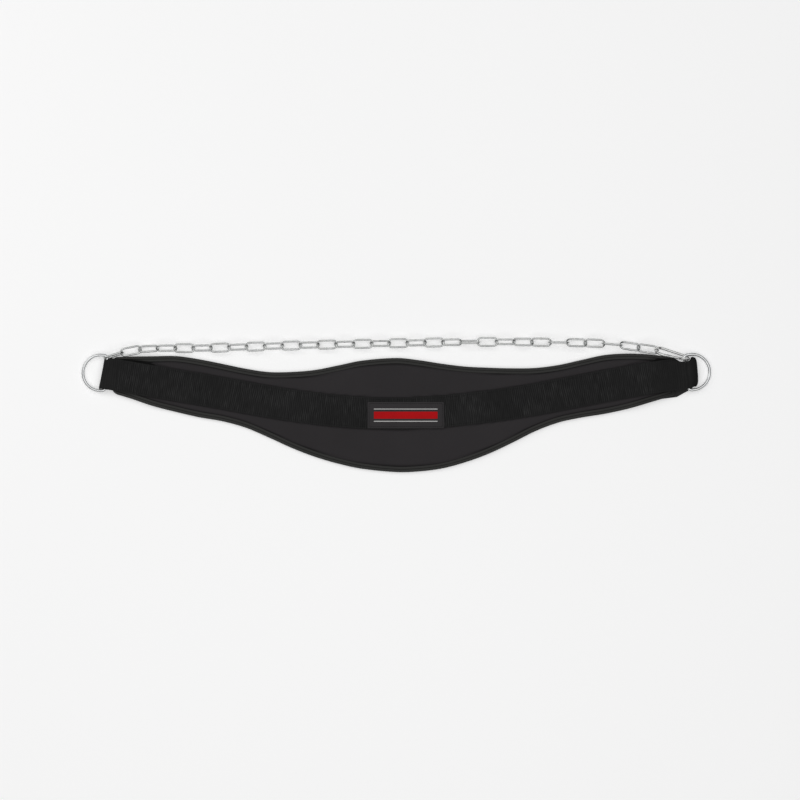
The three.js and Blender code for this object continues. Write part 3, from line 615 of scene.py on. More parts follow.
def back_pad():
    pad = flat_grid("back_pad_cloth", 216, 46, pad_place)
    apply_modifier(pad, "wall", "SOLIDIFY", thickness=2 * MM, offset=0)
    points = points_of(pad)
    x, y = points[:, 0], points[:, 1]
    face = points[:, 2] > 0
    height = np.where(face, pad_height(x, y, True), pad_height(x, y, False))
    points[:, 2] = pad_base(x) + height
    set_points(pad, points)
    depth = edge_distance(x, y)
    under_strap = 1 - smoothstep(1.0, 1.1, np.abs(strap_share(x, y)))
    held = np.maximum(1 - smoothstep(SHOULDER_START, SHOULDER_END, depth), under_strap)
    held = np.where(face, held, 1)
    # Painted shade beside the tape's inner edge and along the strap's edges, stored with the painted gap shade.
    shade_beside_tape = 0.75 * hump(depth, 8.9 * MM, 1.1 * MM)
    shade_beside_strap = 0.35 * hump(np.abs(strap_share(x, y)), 1.02, 0.05)
    mark_painted_shade(pad, np.maximum(np.maximum(wedge_shade(x, y), shade_beside_tape), shade_beside_strap) * face)
    group = pad.vertex_groups.new(name="held")
    for number, weight in enumerate(held):
        group.add([number], float(weight), "REPLACE")
    swell(pad)
    apply_modifier(pad, "round", "SUBSURF", levels=1, render_levels=1)
    smooth_faces(pad, 60)
    pad.vertex_groups.clear()
    finish_piece(pad, "belt", PAD_CLOTH, "pad_cloth", "back_pad")


def swell(pad):
    """Blows the cloth up over its foam with a short cloth simulation, and keeps each point near its place."""
    before = points_of(pad)
    modifier = pad.modifiers.new("swell", "CLOTH")
    cloth = {
        "quality": 4, "mass": 0.3, "tension_stiffness": 20, "compression_stiffness": 20, "shear_stiffness": 8,
        "bending_stiffness": 0.6, "use_pressure": True, "uniform_pressure_force": SWELL_PRESSURE,
        "vertex_group_mass": "held",
    }
    for key, value in cloth.items():
        setattr(modifier.settings, key, value)
    modifier.settings.effector_weights.gravity = 0
    modifier.collision_settings.use_collision = False
    modifier.point_cache.frame_end = SWELL_FRAMES
    for number in range(1, SWELL_FRAMES + 1):
        bpy.context.scene.frame_set(number)
    pick(pad)
    bpy.ops.object.modifier_apply(modifier="swell")
    bpy.context.scene.frame_set(1)
    moved = points_of(pad) - before
    reach = np.linalg.norm(moved, axis=1)
    share = np.minimum(1, SWELL_CAP / np.maximum(reach, 1e-9))
    set_points(pad, before + moved * share[:, None])


# ---- Edge binding
def outline_run(side, inset):
    """The pad's upper (1) or lower (-1) edge with its corners, at an inset, from left to right."""
    left, right = PAD_LEFT + inset, PAD_RIGHT - inset
    left_radius = max(PAD_CORNER - inset, MM)
    right_radius = max(PAD_SHARP_CORNER - inset, MM)
    turn = np.linspace(0, math.pi / 2, 13)[:-1]
    middle = np.linspace(left + left_radius, right - right_radius, 560)
    x = [left + left_radius * (1 - np.cos(turn)), middle, (right - right_radius * (1 - np.cos(turn)))[::-1]]
    cut = [left_radius * (1 - np.sin(turn)), np.zeros_like(middle), (right_radius * (1 - np.sin(turn)))[::-1]]
    x, cut = np.concatenate(x), np.concatenate(cut)
    edge = upper_edge if side > 0 else lower_edge
    return np.stack([x, edge(x) - side * (inset * np.hypot(1, slope_of(edge, x)) + cut)], axis=1)


def pad_outline(inset):
    """Points all round the pad at an inset from its edge. Points of the same number lie side by side."""
    upper, lower = outline_run(1, inset), outline_run(-1, inset)[::-1]
    share = np.linspace(0, 1, 38)[1:-1, None]
    right_end = upper[-1] + (lower[0] - upper[-1]) * share
    left_end = lower[-1] + (upper[0] - lower[-1]) * share
    return np.concatenate([upper, right_end, lower, left_end, upper[:1]])


# The tape's section from its inner edge on the face, over the rounded nose, to its inner edge on the back:
# way along the section, distance in from the pad's edge and height.
TAPE_SECTION = [
    (0.00, 8.7, 6.75), (0.04, 8.3, 7.15), (0.10, 7.5, 7.25), (0.16, 6.4, 7.20), (0.22, 5.3, 6.95),
    (0.27, 4.6, 6.55), (0.32, 3.8, 6.90), (0.38, 2.5, 6.90), (0.44, 1.2, 6.20), (0.50, 0.15, 4.60), (0.53, 0.0, 3.60),
    (0.57, 0.25, 2.30), (0.63, 1.2, 0.95), (0.70, 2.6, 0.42), (0.80, 5.0, 0.35), (0.89, 7.2, 0.48),
    (0.95, 8.3, 0.33), (1.00, 9.0, 0.32),
]
tape_inset, tape_height = smooth_line(TAPE_SECTION, 1), smooth_line(TAPE_SECTION, 2)
TAPE_SEAM_INSET = 4.6 * MM
TAPE_SEAM_FACE, TAPE_SEAM_BACK = 6.72 * MM, 0.62 * MM           # the seam's heights on the pad's face and back
TAPE_ROWS = 26
TAPE_COLUMNS = len(pad_outline(0)) - 1


def tape_place(u, v):
    column, row = np.rint(u * TAPE_COLUMNS).astype(int), np.rint(v * TAPE_ROWS).astype(int)
    lines = np.array([pad_outline(float(tape_inset(step / TAPE_ROWS)) * MM) for step in range(TAPE_ROWS + 1)])
    spot = lines[row, column]
    pucker = unevenness(np.stack([spot[:, 0], spot[:, 1], v * 0.01], axis=1), 3.4 * MM, 4)
    seam = hump(v, 0.27, 0.09) + 0.6 * hump(v, 0.06, 0.06)
    pressed = groove(spot[:, 0], spot[:, 1]) * (1 - smoothstep(0.2, 0.36, v))
    height = pad_base(spot[:, 0]) + tape_height(v) * MM - pressed
    return spot[:, 0], spot[:, 1], height + pucker * seam * 0.3 * MM


def edge_tape():
    tape = flat_grid("edge_tape", TAPE_COLUMNS, TAPE_ROWS, tape_place)
    points = points_of(tape)
    x, y = points[:, 0], points[:, 1]
    way = x / HALF_SPAN
    # Painted shade on the tape's lower right, beside the strap's right end, stored with the painted gap shade.
    low_right_shade = (0.25 * smoothstep(0.8, 0.88, way) + 0.25 * smoothstep(0.9, 0.95, way)) * (strap_share(x, y) < 0)
    mark_painted_shade(tape, np.maximum(wedge_shade(x, y), low_right_shade) * (points[:, 2] > 3 * MM))
    edit(tape, lambda: bpy.ops.mesh.remove_doubles(threshold=2e-5), face_out)
    apply_modifier(tape, "wall", "SOLIDIFY", thickness=0.7 * MM, offset=-1)
    smooth_faces(tape, 50)
    finish_piece(tape, "belt", TAPE_CLOTH, "edge_tape", "edge_binding")


# ---- Stitches
LONG_PITCH = 3.4 * MM
SHORT_PITCH = 2.9 * MM


def stitch_shape():
    """One stitch lying along X: a thread that comes up at one end and dips at the other."""
    stitch = settle(start_from(
        bpy.ops.mesh.primitive_cylinder_add, "stitch",
        vertices=6, radius=0.3 * MM, depth=2.5 * MM, rotation=(0, math.pi / 2, 0), end_fill_type="NGON",
    ))
    edit(
        stitch,
        lambda: bpy.ops.mesh.bisect(plane_co=(-0.6 * MM, 0, 0), plane_no=(1, 0, 0)),
        lambda: bpy.ops.mesh.bisect(plane_co=(0.6 * MM, 0, 0), plane_no=(1, 0, 0)),
    )
    points = points_of(stitch)
    end = np.abs(points[:, 0]) > MM
    points[end, 1:] *= 0.72
    points[end, 2] -= 0.28 * MM
    set_points(stitch, points)
    return stitch


def stitch_row(line, pitch):
    """Stitches modelled once and repeated along a line of points."""
    stitch = stitch_shape()
    curve = bpy.data.curves.new("seam_line", "CURVE")
    curve.dimensions = "3D"
    curve.twist_mode = "Z_UP"
    spline = curve.splines.new("POLY")
    spline.points.add(len(line) - 1)
    for point, place in zip(spline.points, line):
        point.co = (*place, 1)
    guide = bpy.data.objects.new("seam_line", curve)
    bpy.context.scene.collection.objects.link(guide)
    length = float(np.linalg.norm(np.diff(np.array(line), axis=0), axis=1).sum())
    count = max(1, int(length / pitch))
    set_points(stitch, points_of(stitch) + [pitch / 2, 0, 0])
    apply_modifier(
        stitch, "row", "ARRAY", fit_type="FIXED_COUNT", count=count, use_relative_offset=False,
        use_constant_offset=True, constant_offset_displace=(length / count, 0, 0),
    )
    apply_modifier(stitch, "seam", "CURVE", object=guide, deform_axis="POS_X")
    bpy.data.objects.remove(guide)
    smooth_faces(stitch, 60)
    return stitch


def sew(name, slot, seams):
    """One piece of stitches from seams, each a line of points and a pitch."""
    rows = [stitch_row(line, pitch) for line, pitch in seams]
    pick(rows[0])
    for row in rows:
        row.select_set(True)
    bpy.ops.object.join()
    finish_piece(named(name), "belt", THREAD, slot)


def tape_stitches():
    lines = [
        [(x, y, float(pad_base(x)) + height) for x, y in pad_outline(TAPE_SEAM_INSET)]
        for height in (TAPE_SEAM_FACE, TAPE_SEAM_BACK)
    ]
    sew("tape_stitches", "edge_tape", [(line, LONG_PITCH) for line in lines])


# ---- Webbing strap
def strap_path():
    """The strap's way seen from the side, as rows of way, x, height and slack: end to end round both loops."""
    half = STRAP_THICKNESS / 2
    loop = RING_WIRE / 2 + GAP + half
    shares = (1, 0.72, 0.44, 0.24)
    rows = [(-(HALF_SPAN - 7 * MM - STRAP_RETURN * share), half, 0) for share in shares]
    rows.append((PAD_LEFT, half + GAP, 0.4))
    for step in range(13):
        angle = math.pi * (step / 12 - 0.5)
        rows.append((-HALF_SPAN - loop * math.cos(angle), RING_BAR_HEIGHT + loop * math.sin(angle), 1))
    for x in np.linspace(PAD_LEFT + TAPE_WIDTH / 2, PAD_RIGHT - TAPE_WIDTH / 2, 121):
        rows.append((x, float(pad_base(x)) + PAD_THICKNESS + GAP + half, 0))
    rows.append((HALF_SPAN - RING_WIRE, RING_BAR_HEIGHT + loop + half / 2, 0.3))
    for step in range(13):
        angle = math.pi * (0.5 - step / 12)
        rows.append((HALF_SPAN + loop * math.cos(angle), RING_BAR_HEIGHT + loop * math.sin(angle), 1))
    rows.append((HALF_SPAN - 9 * MM, half + GAP, 0.2))
    rows += [(HALF_SPAN - 18 * MM - STRAP_RETURN * share, half, 0) for share in reversed(shares)]
    table, way = [], 0.0
    for number, row in enumerate(rows):
        if number:
            way += math.hypot(row[0] - rows[number - 1][0], row[1] - rows[number - 1][1])
        table.append((way, *row))
    return table


STRAP_PATH = strap_path()
STRAP_LENGTH = STRAP_PATH[-1][0]
path_x, path_z, path_slack = (smooth_line(STRAP_PATH, column) for column in (1, 2, 3))
# The strap's way where it turns up from under the left end, where its face starts and ends, and where it turns down
# and back at the right ring.
LEFT_TURN, FACE_START, FACE_END, TURN_START, TURN_END = (STRAP_PATH[row][0] for row in (5, 18, 138, 140, 152))
MOST_ASKEW = 10.5 * MM          # how far the end turned under the pad's right end slips down
LONG_SEAM_SHARE = 0.87          # how far out towards the strap's edges its long seams run
THREAD_HEIGHT = 0.78 * MM       # above the strap's middle sheet


def strap_turn(x):
    left = 1 - smoothstep(-HALF_SPAN, -HALF_SPAN + LOOP_BLEND, x)
    right = smoothstep(HALF_SPAN - LOOP_BLEND, HALF_SPAN, x)
    slope = np.arctan(slope_of(strap_y, x))
    return slope * (1 - left - right) - RING_TURNS["left"] * left - RING_TURNS["right"] * right


def strap_reach(x, z, side):
    """Half width of the strap. Beside each ring its upper edge gives way to the chain's first link or to the hook."""
    full = STRAP_WIDTH / 2
    over = z > RING_BAR_HEIGHT
    link_room, hook_room, nose_room = 20.6 * MM, 17.9 * MM, 22.5 * MM
    over_link = 1 - smoothstep(-HALF_SPAN - MM, -HALF_SPAN + 6.5 * MM, x)
    under_link = 1 - smoothstep(-HALF_SPAN + LINK_WIRE, -HALF_SPAN + full, x)
    at_link = np.where(over, over_link, under_link)
    hook_end = HALF_SPAN + 8.4 * MM
    over_hook = smoothstep(HALF_SPAN - 17 * MM, HALF_SPAN - 5 * MM, x)
    under_hook = smoothstep(HALF_SPAN - full, HALF_SPAN - 5 * MM, x)
    at_hook = np.where(over, over_hook, under_hook)
    past_hook = smoothstep(hook_end, hook_end + 2.4 * MM, x)
    room = full - at_link * (full - link_room) - at_hook * (full - hook_room) + past_hook * (nose_room - hook_room)
    lower = full - 2 * MM * smoothstep(HALF_SPAN + 2 * MM, HALF_SPAN + 10 * MM, x)
    return np.where(side < 0, lower, room)


def strap_point(way, share, lift):
    """A point of the strap: way along it, share across it from -1 to 1 and lift off its middle sheet."""
    x, z, slack = path_x(way), path_z(way), path_slack(way)
    step = 0.2 * MM
    run, climb = path_x(way + step) - path_x(way - step), path_z(way + step) - path_z(way - step)
    length = np.maximum(np.hypot(run, climb), 1e-9)
    run, climb = run / length, climb / length
    turn = strap_turn(x)
    middle = np.clip(x, -HALF_SPAN, HALF_SPAN)
    left = x < 0
    off = slack * np.where(left, LOOP_SLACK_LEFT * left_slack(share), LOOP_SLACK_RIGHT * right_slack(share))
    reach = share * strap_reach(np.where(left, x, x + off), z, share)
    go = x - middle + off - climb * lift
    under_right = (z < RING_BAR_HEIGHT / 2) & (x > 0)
    askew = np.where(under_right, np.clip(0.42 * (HALF_SPAN + 7.5 * MM - x - off), 0, MOST_ASKEW), 0)
    return (
        middle + np.cos(turn) * go - np.sin(turn) * reach,
        strap_y(middle) + np.sin(turn) * go + np.cos(turn) * reach - askew,
        z + run * lift,
    )


def crown(share):
    """How far the webbing bends down towards its edges."""
    return -0.45 * MM * np.abs(share) ** 8


def strap_place(u, v):
    way = u * STRAP_LENGTH
    share = v * 2 - 1
    ribs = 0.09 * MM * np.sin(way * 2 * math.pi / (3 * MM))
    spots = np.stack([way, share * STRAP_WIDTH / 2, np.zeros_like(way)], axis=1)
    sag = 0.35 * MM * unevenness(spots, 38 * MM, 1) + 0.12 * MM * unevenness(spots, 9 * MM, 2)
    seam = 0.25 * MM * hump(np.abs(share), LONG_SEAM_SHARE, 0.05)
    on_face = smoothstep(FACE_START, FACE_START + 8 * MM, way) * (1 - smoothstep(FACE_END - 8 * MM, FACE_END, way))
    face_x = np.abs(path_x(way)) / HALF_SPAN
    curl = MM * smoothstep(0.76, 0.83, face_x) * (1 - smoothstep(0.89, 0.93, face_x)) * np.clip(share, 0, 1) ** 4
    lift = ribs * (0.25 + 0.75 * on_face) + (crown(share) + sag * (1 - np.abs(share) ** 4) - seam + curl) * on_face
    x, y, z = strap_point(way, share, lift)
    ripple = 0.35 * MM * unevenness(np.stack([way, np.sign(share) * 0.1, np.zeros_like(way)], axis=1), 30 * MM, 3)
    return x, y + ripple * np.abs(share) ** 3, np.maximum(z, STRAP_THICKNESS / 2)


def webbing_strap():
    strap = flat_grid("webbing_strap", 1400, 24, strap_place)
    apply_modifier(strap, "wall", "SOLIDIFY", thickness=1.7 * MM, offset=0)
    round_edges(strap, 0.5 * MM, 60)
    smooth_faces(strap, 60)
    finish_piece(strap, "belt", strap_webbing(STRAP_LENGTH), "webbing", "strap")


def strap_line(start, end, share_start, share_end, count):
    """Points on the strap's face, in a straight run from one place to another."""
    way = np.linspace(start, end, count)
    share = np.linspace(share_start, share_end, count)
    return list(zip(*strap_point(way, share, THREAD_HEIGHT + crown(share))))


def strap_stitches():
    """A long seam along each edge, and a crossed box at each end of the face."""
    start, end, box, edge = FACE_START + 6 * MM, FACE_END - 6 * MM, 34 * MM, 0.8
    seams = [(strap_line(start, end, share, share, 420), LONG_PITCH) for share in (-LONG_SEAM_SHARE, LONG_SEAM_SHARE)]
    for near, far in ((start, start + box), (end, end - box)):
        seams += [(strap_line(way, way, -edge, edge, 24), SHORT_PITCH) for way in (near, far)]
        low, high = min(near, far), max(near, far)
        seams += [(strap_line(low, high, share, -share, 30), SHORT_PITCH) for share in (-edge, edge)]
    sew("strap_stitches", "webbing", seams)


# ---- Label
LABEL_BASE = 10.45 * MM
LABEL_CLOTH = 0.8 * MM
BAND_LENGTH = 98 * MM
BAND_SINK, BAND_RISE = 0.1 * MM, 0.16 * MM      # how far band and pinstripes reach into and above the label
LABEL_MIDDLE = BELT_SHIFT - STRAP_SAG - STRAP_WIDTH / 2 + 2 * MM + LABEL_HEIGHT / 2


def slab(name, rise, width, height, bottom, top, corner, finish, *replaced):
    """A thin woven slab with rounded corners and soft edges, this far above the label's middle line."""
    place = (LABEL_OFFSET, LABEL_MIDDLE + rise, bottom)
    piece = start_from(bpy.ops.mesh.primitive_plane_add, name, size=1, location=place)
    piece.scale = (width, height, 1)
    settle(piece)
    edit(
        piece,
        lambda: bpy.ops.mesh.bevel(offset=corner, offset_type="OFFSET", segments=5, affect="VERTICES"),
        lambda: bpy.ops.mesh.extrude_region_move(TRANSFORM_OT_translate={"value": (0, 0, top - bottom)}),
        face_out,
    )
    round_edges(piece, min(0.22 * MM, (top - bottom) * 0.4), 50)
    smooth_faces(piece, 35)
    finish_piece(piece, "belt", finish, "label_cloth", *replaced)


def label():
    top = LABEL_BASE + LABEL_CLOTH
    low, high = top - BAND_SINK, top + BAND_RISE
    slab("label_ground", 0, LABEL_LENGTH, LABEL_HEIGHT, LABEL_BASE, top, 1.6 * MM, LABEL_GROUND, "label")
    slab("label_band", 0, BAND_LENGTH, 11 * MM, low, high, 0.6 * MM, LABEL_RED)
    for name, rise in (("upper", 9.4 * MM), ("lower", -9.4 * MM)):
        slab(f"label_pinstripe_{name}", rise, BAND_LENGTH, 1.3 * MM, low, high, 0.3 * MM, LABEL_WHITE)
    x, y = LABEL_LENGTH / 2 - 2.4 * MM, LABEL_HEIGHT / 2 - 2.4 * MM
    corners = np.array([(-x, -y), (x, -y), (x, y), (-x, y), (-x, -y)]) + (LABEL_OFFSET, LABEL_MIDDLE)
    lines = [
        [(*(start + (end - start) * share), top + 0.05 * MM) for share in np.linspace(0, 1, 12)]
        for start, end in zip(corners, corners[1:])
    ]
    sew("label_stitches", "label_cloth", [(line, SHORT_PITCH) for line in lines])


# ---- Bent wire
def bent_wire(name, radius, sides, start, moves):
    """Wire in the XY plane, first along +X: a circle drawn out straight and spun round bends, one move after another.
    A move is ("run", length, steps) or ("turn", bend radius, degrees, steps), to the left where positive."""
    obj = settle(start_from(
        bpy.ops.mesh.primitive_circle_add, name,
        vertices=sides, radius=radius, location=(*start, 0), rotation=(0, math.pi / 2, 0),
    ))
    bpy.ops.object.mode_set(mode="EDIT")
    bpy.ops.mesh.select_all(action="SELECT")
    place, heading = Vector((*start, 0)), 0.0
    for move in moves:
        if move[0] == "run":
            step = Vector((math.cos(heading), math.sin(heading), 0)) * move[1] / move[2]
            for _ in range(move[2]):
                bpy.ops.mesh.extrude_region_move(TRANSFORM_OT_translate={"value": step})
                place = place + step
        else:
            bend, angle, steps = move[1], math.radians(move[2]), move[3]
            side = 1 if angle > 0 else -1
            to_centre = Vector((-math.sin(heading), math.cos(heading), 0)) * bend * side
            centre = place + to_centre
            bpy.ops.mesh.spin(steps=steps, angle=-angle, center=centre, axis=(0, 0, 1), use_auto_merge=False)
            place = centre + Matrix.Rotation(angle, 3, "Z") @ (-to_centre)
            heading += angle
    bpy.ops.object.mode_set(mode="OBJECT")
    edit(
        obj,
        lambda: bpy.ops.mesh.remove_doubles(threshold=1e-5),
        lambda: bpy.ops.mesh.fill_holes(sides=sides),
        face_out,
    )
    return obj


def ring_frame(side):
    """Where a ring lies: its bar at the origin of this frame, its arc towards the frame's +X."""
    sign = -1 if side == "left" else 1
    turn = RING_TURNS[side]
    drop = math.asin((RING_BAR_HEIGHT - RING_WIRE / 2) / (RING_STRAIGHT + RING_RADIUS))
    across = Vector((math.sin(turn), math.cos(turn), 0))
    level = Vector((sign * math.cos(turn), -sign * math.sin(turn), 0))
    out = level * math.cos(drop) - Vector((0, 0, math.sin(drop)))
    up = out.cross(across)
    place = Vector((sign * HALF_SPAN, float(strap_y(sign * HALF_SPAN)), RING_BAR_HEIGHT))
    matrix = Matrix((out, across, up)).transposed().to_4x4()
    matrix.translation = place
    return matrix


def d_ring(side):
    half = RING_RADIUS - RING_CORNER
    ring = bent_wire(
        f"d_ring_{side}_wire", RING_WIRE / 2, 20, (RING_CORNER, -RING_RADIUS),
        [
            ("run", RING_STRAIGHT - RING_CORNER, 2), ("turn", RING_RADIUS, 180, 48),
            ("run", RING_STRAIGHT - RING_CORNER, 2), ("turn", RING_CORNER, 90, 10),
            ("run", 2 * half, 16), ("turn", RING_CORNER, 90, 10),
        ],
    )
    points = points_of(ring)
    weld = 0.14 * hump(points[:, 1], 0, 1.6 * MM) * (np.abs(points[:, 0]) < 4 * MM)
    points[:, 0] *= 1 + weld
    points[:, 2] *= 1 + weld
    set_points(ring, points)
    ring.data.transform(ring_frame(side))
    smooth_faces(ring, 60)
    finish_piece(ring, "belt", RING_STEEL, "ring_steel", f"d_ring_{side}")


LINK_TIP = 7.18 * MM            # how far a CAD link's faceted bend reaches past its straight part


def link_frame(node):
    """A CAD link's own place and its inner length: middle, long direction, wide direction and normal."""
    points = np.unique(np.round(points_of(node), 7), axis=0)
    middle = (points.max(0) + points.min(0)) / 2
    for _ in range(2):
        _, _, turns = np.linalg.svd(points - middle, full_matrices=False)
        local = (points - middle) @ turns.T
        middle = middle + ((local.max(0) + local.min(0)) / 2) @ turns
    long, wide = turns[0], turns[1]
    if long[0] < 0:
        long = -long
    normal = np.cross(long, wide)
    local = (points - middle) @ np.stack([long, wide, normal]).T
    matrix = Matrix([(*row, 0) for row in np.stack([long, wide, normal]).T] + [(0, 0, 0, 1)])
    matrix.translation = Vector(middle)
    return matrix, float(local[:, 0].max() - local[:, 0].min())


def chain():
    """One link is bent and welded up, and then copied to each link's place, its weld on either side of a flat link
    and on the upper side of one that stands."""
    straight = LINK_PITCH + LINK_WIRE - 2 * LINK_RADIUS
    model = bent_wire(
        "link_model", LINK_WIRE / 2, 14, (0, -LINK_RADIUS),
        [
            ("run", straight / 2, 4), ("turn", LINK_RADIUS, 180, 14),
            ("run", straight / 2, 4), ("run", straight / 2, 4),
            ("turn", LINK_RADIUS, 180, 14), ("run", straight / 2, 4),
        ],
    )
    model_points = points_of(model)
    for number in range(1, 32):
        node = nodes[f"link_{number:02d}"]
        matrix, length = link_frame(node)
        link = model.copy()
        link.data = model.data.copy()
        link.name = f"chain_link_{number:02d}"
        bpy.context.scene.collection.objects.link(link)
        points = model_points.copy()
        side = 1 if (number * 7) % 5 < 3 else -1
        if abs(matrix[2][1]) > 0.15:
            side = 1 if matrix[2][1] > 0 else -1
        weld = (0.16 + 0.05 * math.sin(number * 2.4)) * hump(points[:, 0], 0, MM) * (points[:, 1] * side > 0)
        points[:, 1] += (points[:, 1] - LINK_RADIUS * side) * weld
        points[:, 2] *= 1 + weld
        stretch = length - 2 * LINK_TIP - straight
        points[:, 0] += np.clip(points[:, 0] / (straight / 2), -1, 1) * stretch / 2
        set_points(link, points)
        link.data.transform(matrix)
        smooth_faces(link, 60)
        finish_piece(link, "belt", CHAIN_ZINC, "chain_zinc", f"link_{number:02d}")
    bpy.data.objects.remove(model)


# ---- Snap hook
HOOK_ROLL = math.radians(64)
HOOK_PLAY = (1.9 * MM, 1.3 * MM)        # between the hook's wire and the ring's, from the bar and from the arc
HOOK_CLEARANCE = 8.95 * MM              # of the hook's wide end from the pad's edge


def hook_matrix():
    """The hook's own frame: the narrow bend's middle at the origin, the wide bend towards +X, the gate on +Y."""
    wires = (RING_WIRE + HOOK_WIRE) / 2
    seat = ring_frame("right") @ Vector((wires + HOOK_PLAY[0], RING_RADIUS - wires - HOOK_PLAY[1], 0))
    heights = [HOOK_WIRE / 2 + radius * math.sin(HOOK_ROLL) for radius in (HOOK_NARROW, HOOK_WIDE)]
    climb = math.asin((heights[1] - heights[0]) / HOOK_REACH)
    heading = math.atan2(float(upper_edge(seat.x - HOOK_LENGTH)) + HOOK_CLEARANCE - seat.y, -HOOK_LENGTH)
    way = Vector((math.cos(heading) * math.cos(climb), math.sin(heading) * math.cos(climb), math.sin(climb)))
    level = Vector((math.sin(heading), -math.cos(heading), 0))
    up = level.cross(way)
    across = -level * math.cos(HOOK_ROLL) + up * math.sin(HOOK_ROLL)
    matrix = Matrix((way, across, way.cross(across))).transposed().to_4x4()
    place = Vector(seat) + way * HOOK_NARROW
    place.z = heights[0]
    matrix.translation = place
    return matrix


def on_side(distance, turn=0.0):
    """A place on the gate's side of the hook, this far from the narrow bend's end, turned from the side's way."""
    matrix = Matrix.Rotation(HOOK_FLARE + turn, 4, "Z")
    matrix.translation = (
        -HOOK_NARROW * math.sin(HOOK_FLARE) + distance * math.cos(HOOK_FLARE),
        HOOK_NARROW * math.cos(HOOK_FLARE) + distance * math.sin(HOOK_FLARE),
        0,
    )
    return matrix


SIDE_LENGTH = math.sqrt(HOOK_REACH**2 - (HOOK_WIDE - HOOK_NARROW) ** 2)
NOSE_START = SIDE_LENGTH - NOSE_LENGTH
EYE_RADIUS = 1.7 * MM


def plate(name, start, end, radius, half_thickness):
    """A plate along the gate's line with two round ends."""
    depth = 2 * half_thickness
    obj = start_from(bpy.ops.mesh.primitive_cylinder_add, name, vertices=24, radius=radius, depth=depth)
    points = points_of(obj)
    points[:, 0] = np.where(points[:, 0] > 1e-6, points[:, 0] + (end - start), points[:, 0])
    points[:, 0] += start
    set_points(obj, points)
    obj.data.transform(on_side(0))
    return obj


def box_cut(obj, start, end, low, high, half_thickness):
    """Cuts a block out of a piece, given along and across the gate's line."""
    middle = ((start + end) / 2, (low + high) / 2, 0)
    cutter = start_from(bpy.ops.mesh.primitive_cube_add, "cutter", size=1, location=middle)
    cutter.scale = (end - start, high - low, 2 * half_thickness)
    settle(cutter)
    cutter.data.transform(on_side(0))
    combine(obj, cutter, "DIFFERENCE")


def combine(obj, other, operation):
    apply_modifier(obj, "combined", "BOOLEAN", object=other, operation=operation, solver="EXACT")
    bpy.data.objects.remove(other)


def finish_hook_piece(obj, matrix, body, replaced):
    """Softens a hook piece's edges and brings it from the hook's frame to its place."""
    round_edges(obj, 0.25 * MM, 32)
    smooth_faces(obj, 40)
    obj.data.transform(matrix)
    finish_piece(obj, body, HOOK_STEEL, "hook_steel", replaced)


def snap_hook():
    matrix = hook_matrix()
    flare = math.degrees(HOOK_FLARE)
    through = 10 * MM
    slot_half, cheek_half, tongue_half = 1.0 * MM, 2.0 * MM, 0.7 * MM

    back = HINGE_OFFSET - EYE_RADIUS - 2 * GAP
    body = bent_wire(
        "snap_hook_body", HOOK_WIRE / 2, 20, (0, 0),
        [
            ("run", back, 2), ("turn", HOOK_NARROW, 180 - 2 * flare, 18), ("run", SIDE_LENGTH, 16),
            ("turn", HOOK_WIDE, 180 + 2 * flare, 28), ("run", NOSE_LENGTH, 3), ("run", LAP_LENGTH, 2),
        ],
    )
    body.data.transform(on_side(back, math.pi))
    combine(body, plate("cheeks", HOOK_WIRE / 4, HINGE_OFFSET, HOOK_WIRE / 2, cheek_half), "UNION")
    box_cut(body, back, HINGE_OFFSET + HOOK_WIRE, -through, through, slot_half)
    box_cut(body, NOSE_START - 2 * LAP_LENGTH, NOSE_START, -through, GAP / 2, through)
    finish_hook_piece(body, matrix, "belt", "hook_body")

    first, last = HINGE_OFFSET + HOOK_WIRE / 2 + 2 * GAP, NOSE_START - GAP
    gate = bent_wire("snap_hook_gate", HOOK_WIRE / 2, 20, (0, 0), [("run", last - first, 8)])
    gate.data.transform(on_side(first))
    combine(gate, plate("tongue", HINGE_OFFSET, first + HOOK_WIRE / 2, EYE_RADIUS, tongue_half), "UNION")
    box_cut(gate, NOSE_START - LAP_LENGTH - GAP, NOSE_START + MM, -GAP / 2, through, through)
    finish_hook_piece(gate, matrix, "gate", "hook_gate")
    rivet(matrix, cheek_half + GAP)


def rivet(matrix, reach):
    """The gate's pin, drawn out at both ends into a flat head."""
    pin = start_from(
        bpy.ops.mesh.primitive_cylinder_add, "snap_hook_rivet", vertices=20, radius=0.8 * MM, depth=2 * reach
    )
    for sign in (-1, 1):
        pick(pin)
        bpy.ops.object.mode_set(mode="EDIT")
        bpy.ops.mesh.select_mode(type="FACE")
        bpy.ops.mesh.select_all(action="DESELECT")
        bpy.ops.object.mode_set(mode="OBJECT")
        for face in pin.data.polygons:
            face.select = face.normal.z * sign > 0.9 and abs(face.center.z) > reach - 1e-5
        bpy.ops.object.mode_set(mode="EDIT")
        for rise, scale in ((0, 1.62), (0.22 * MM, 1), (0.18 * MM, 0.62)):
            bpy.ops.mesh.extrude_region_move(TRANSFORM_OT_translate={"value": (0, 0, sign * rise)})
            bpy.ops.transform.resize(value=(scale, scale, 1))
        bpy.ops.object.mode_set(mode="OBJECT")
    pin.data.transform(matrix @ on_side(HINGE_OFFSET, -HOOK_FLARE))
    smooth_faces(pin, 40)
    finish_piece(pin, "belt", HOOK_STEEL, "hook_steel", "hook_rivet")


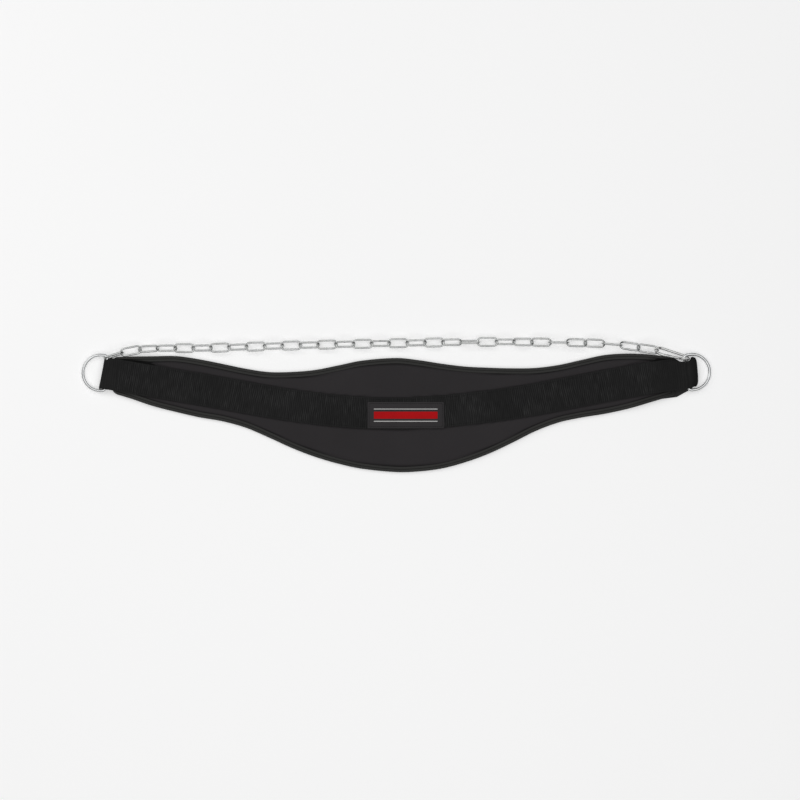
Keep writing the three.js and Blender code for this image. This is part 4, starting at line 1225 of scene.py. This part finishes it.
# ---- Surroundings
EYE_HEIGHT = 4.2
FRAME_WIDTH = 1.232


def floor():
    ground = start_from(bpy.ops.mesh.primitive_plane_add, "floor", size=14, location=(0, 0, -0.2 * MM))
    finish = Finish("pale_floor", Specular_IOR_Level=0.0)
    patches = finish.clouds(finish.place(), 0.6, 2.0)
    shade = finish.tones(patches, (0.2, (0.9, 0.9, 0.9)), (0.8, (0.92, 0.92, 0.92)))
    finish.surface.inputs["Emission Strength"].default_value = 0.355
    ground.data.materials.append(finish.set(Base_Color=shade, Roughness=0.95 + patches * 0.05, Emission_Color=shade))


def soft_box(name, place, size, power):
    """A rectangular lamp that looks at the belt's middle."""
    light = bpy.data.lights.new(name, "AREA")
    light.shape = "RECTANGLE"
    light.size, light.size_y = size
    light.energy = power
    lamp = bpy.data.objects.new(name, light)
    lamp.location = place
    lamp.rotation_euler = (-Vector(place)).to_track_quat("-Z", "Y").to_euler()
    bpy.context.scene.collection.objects.link(lamp)


def studio():
    world = bpy.data.worlds.new("studio")
    bpy.context.scene.world = world
    world.use_nodes = True
    sky = world.node_tree.nodes["Background"].inputs
    sky["Color"].default_value = (1, 1, 1, 1)
    sky["Strength"].default_value = 0.07
    soft_box("overhead", (0, 0, 3), (6, 6), 108)
    soft_box("key", (-2.6, 1.3, 1.7), (1.6, 1.2), 12)
    bpy.context.scene.view_settings.view_transform = "Standard"


def camera():
    """Straight above, as the photograph is taken. Its frame is FRAME_WIDTH wide at the height of the belt."""
    data = bpy.data.cameras.new("camera")
    data.sensor_width = 36
    data.lens = data.sensor_width * (EYE_HEIGHT - 6 * MM) / FRAME_WIDTH
    data.clip_end = 50
    eye = bpy.data.objects.new("camera", data)
    eye.location = (5.6 * MM, 7.1 * MM, EYE_HEIGHT)
    bpy.context.scene.collection.objects.link(eye)
    bpy.context.scene.camera = eye


camera()
studio()
floor()
back_pad()
edge_tape()
tape_stitches()
webbing_strap()
strap_stitches()
label()
d_ring("left")
d_ring("right")
chain()
snap_hook()
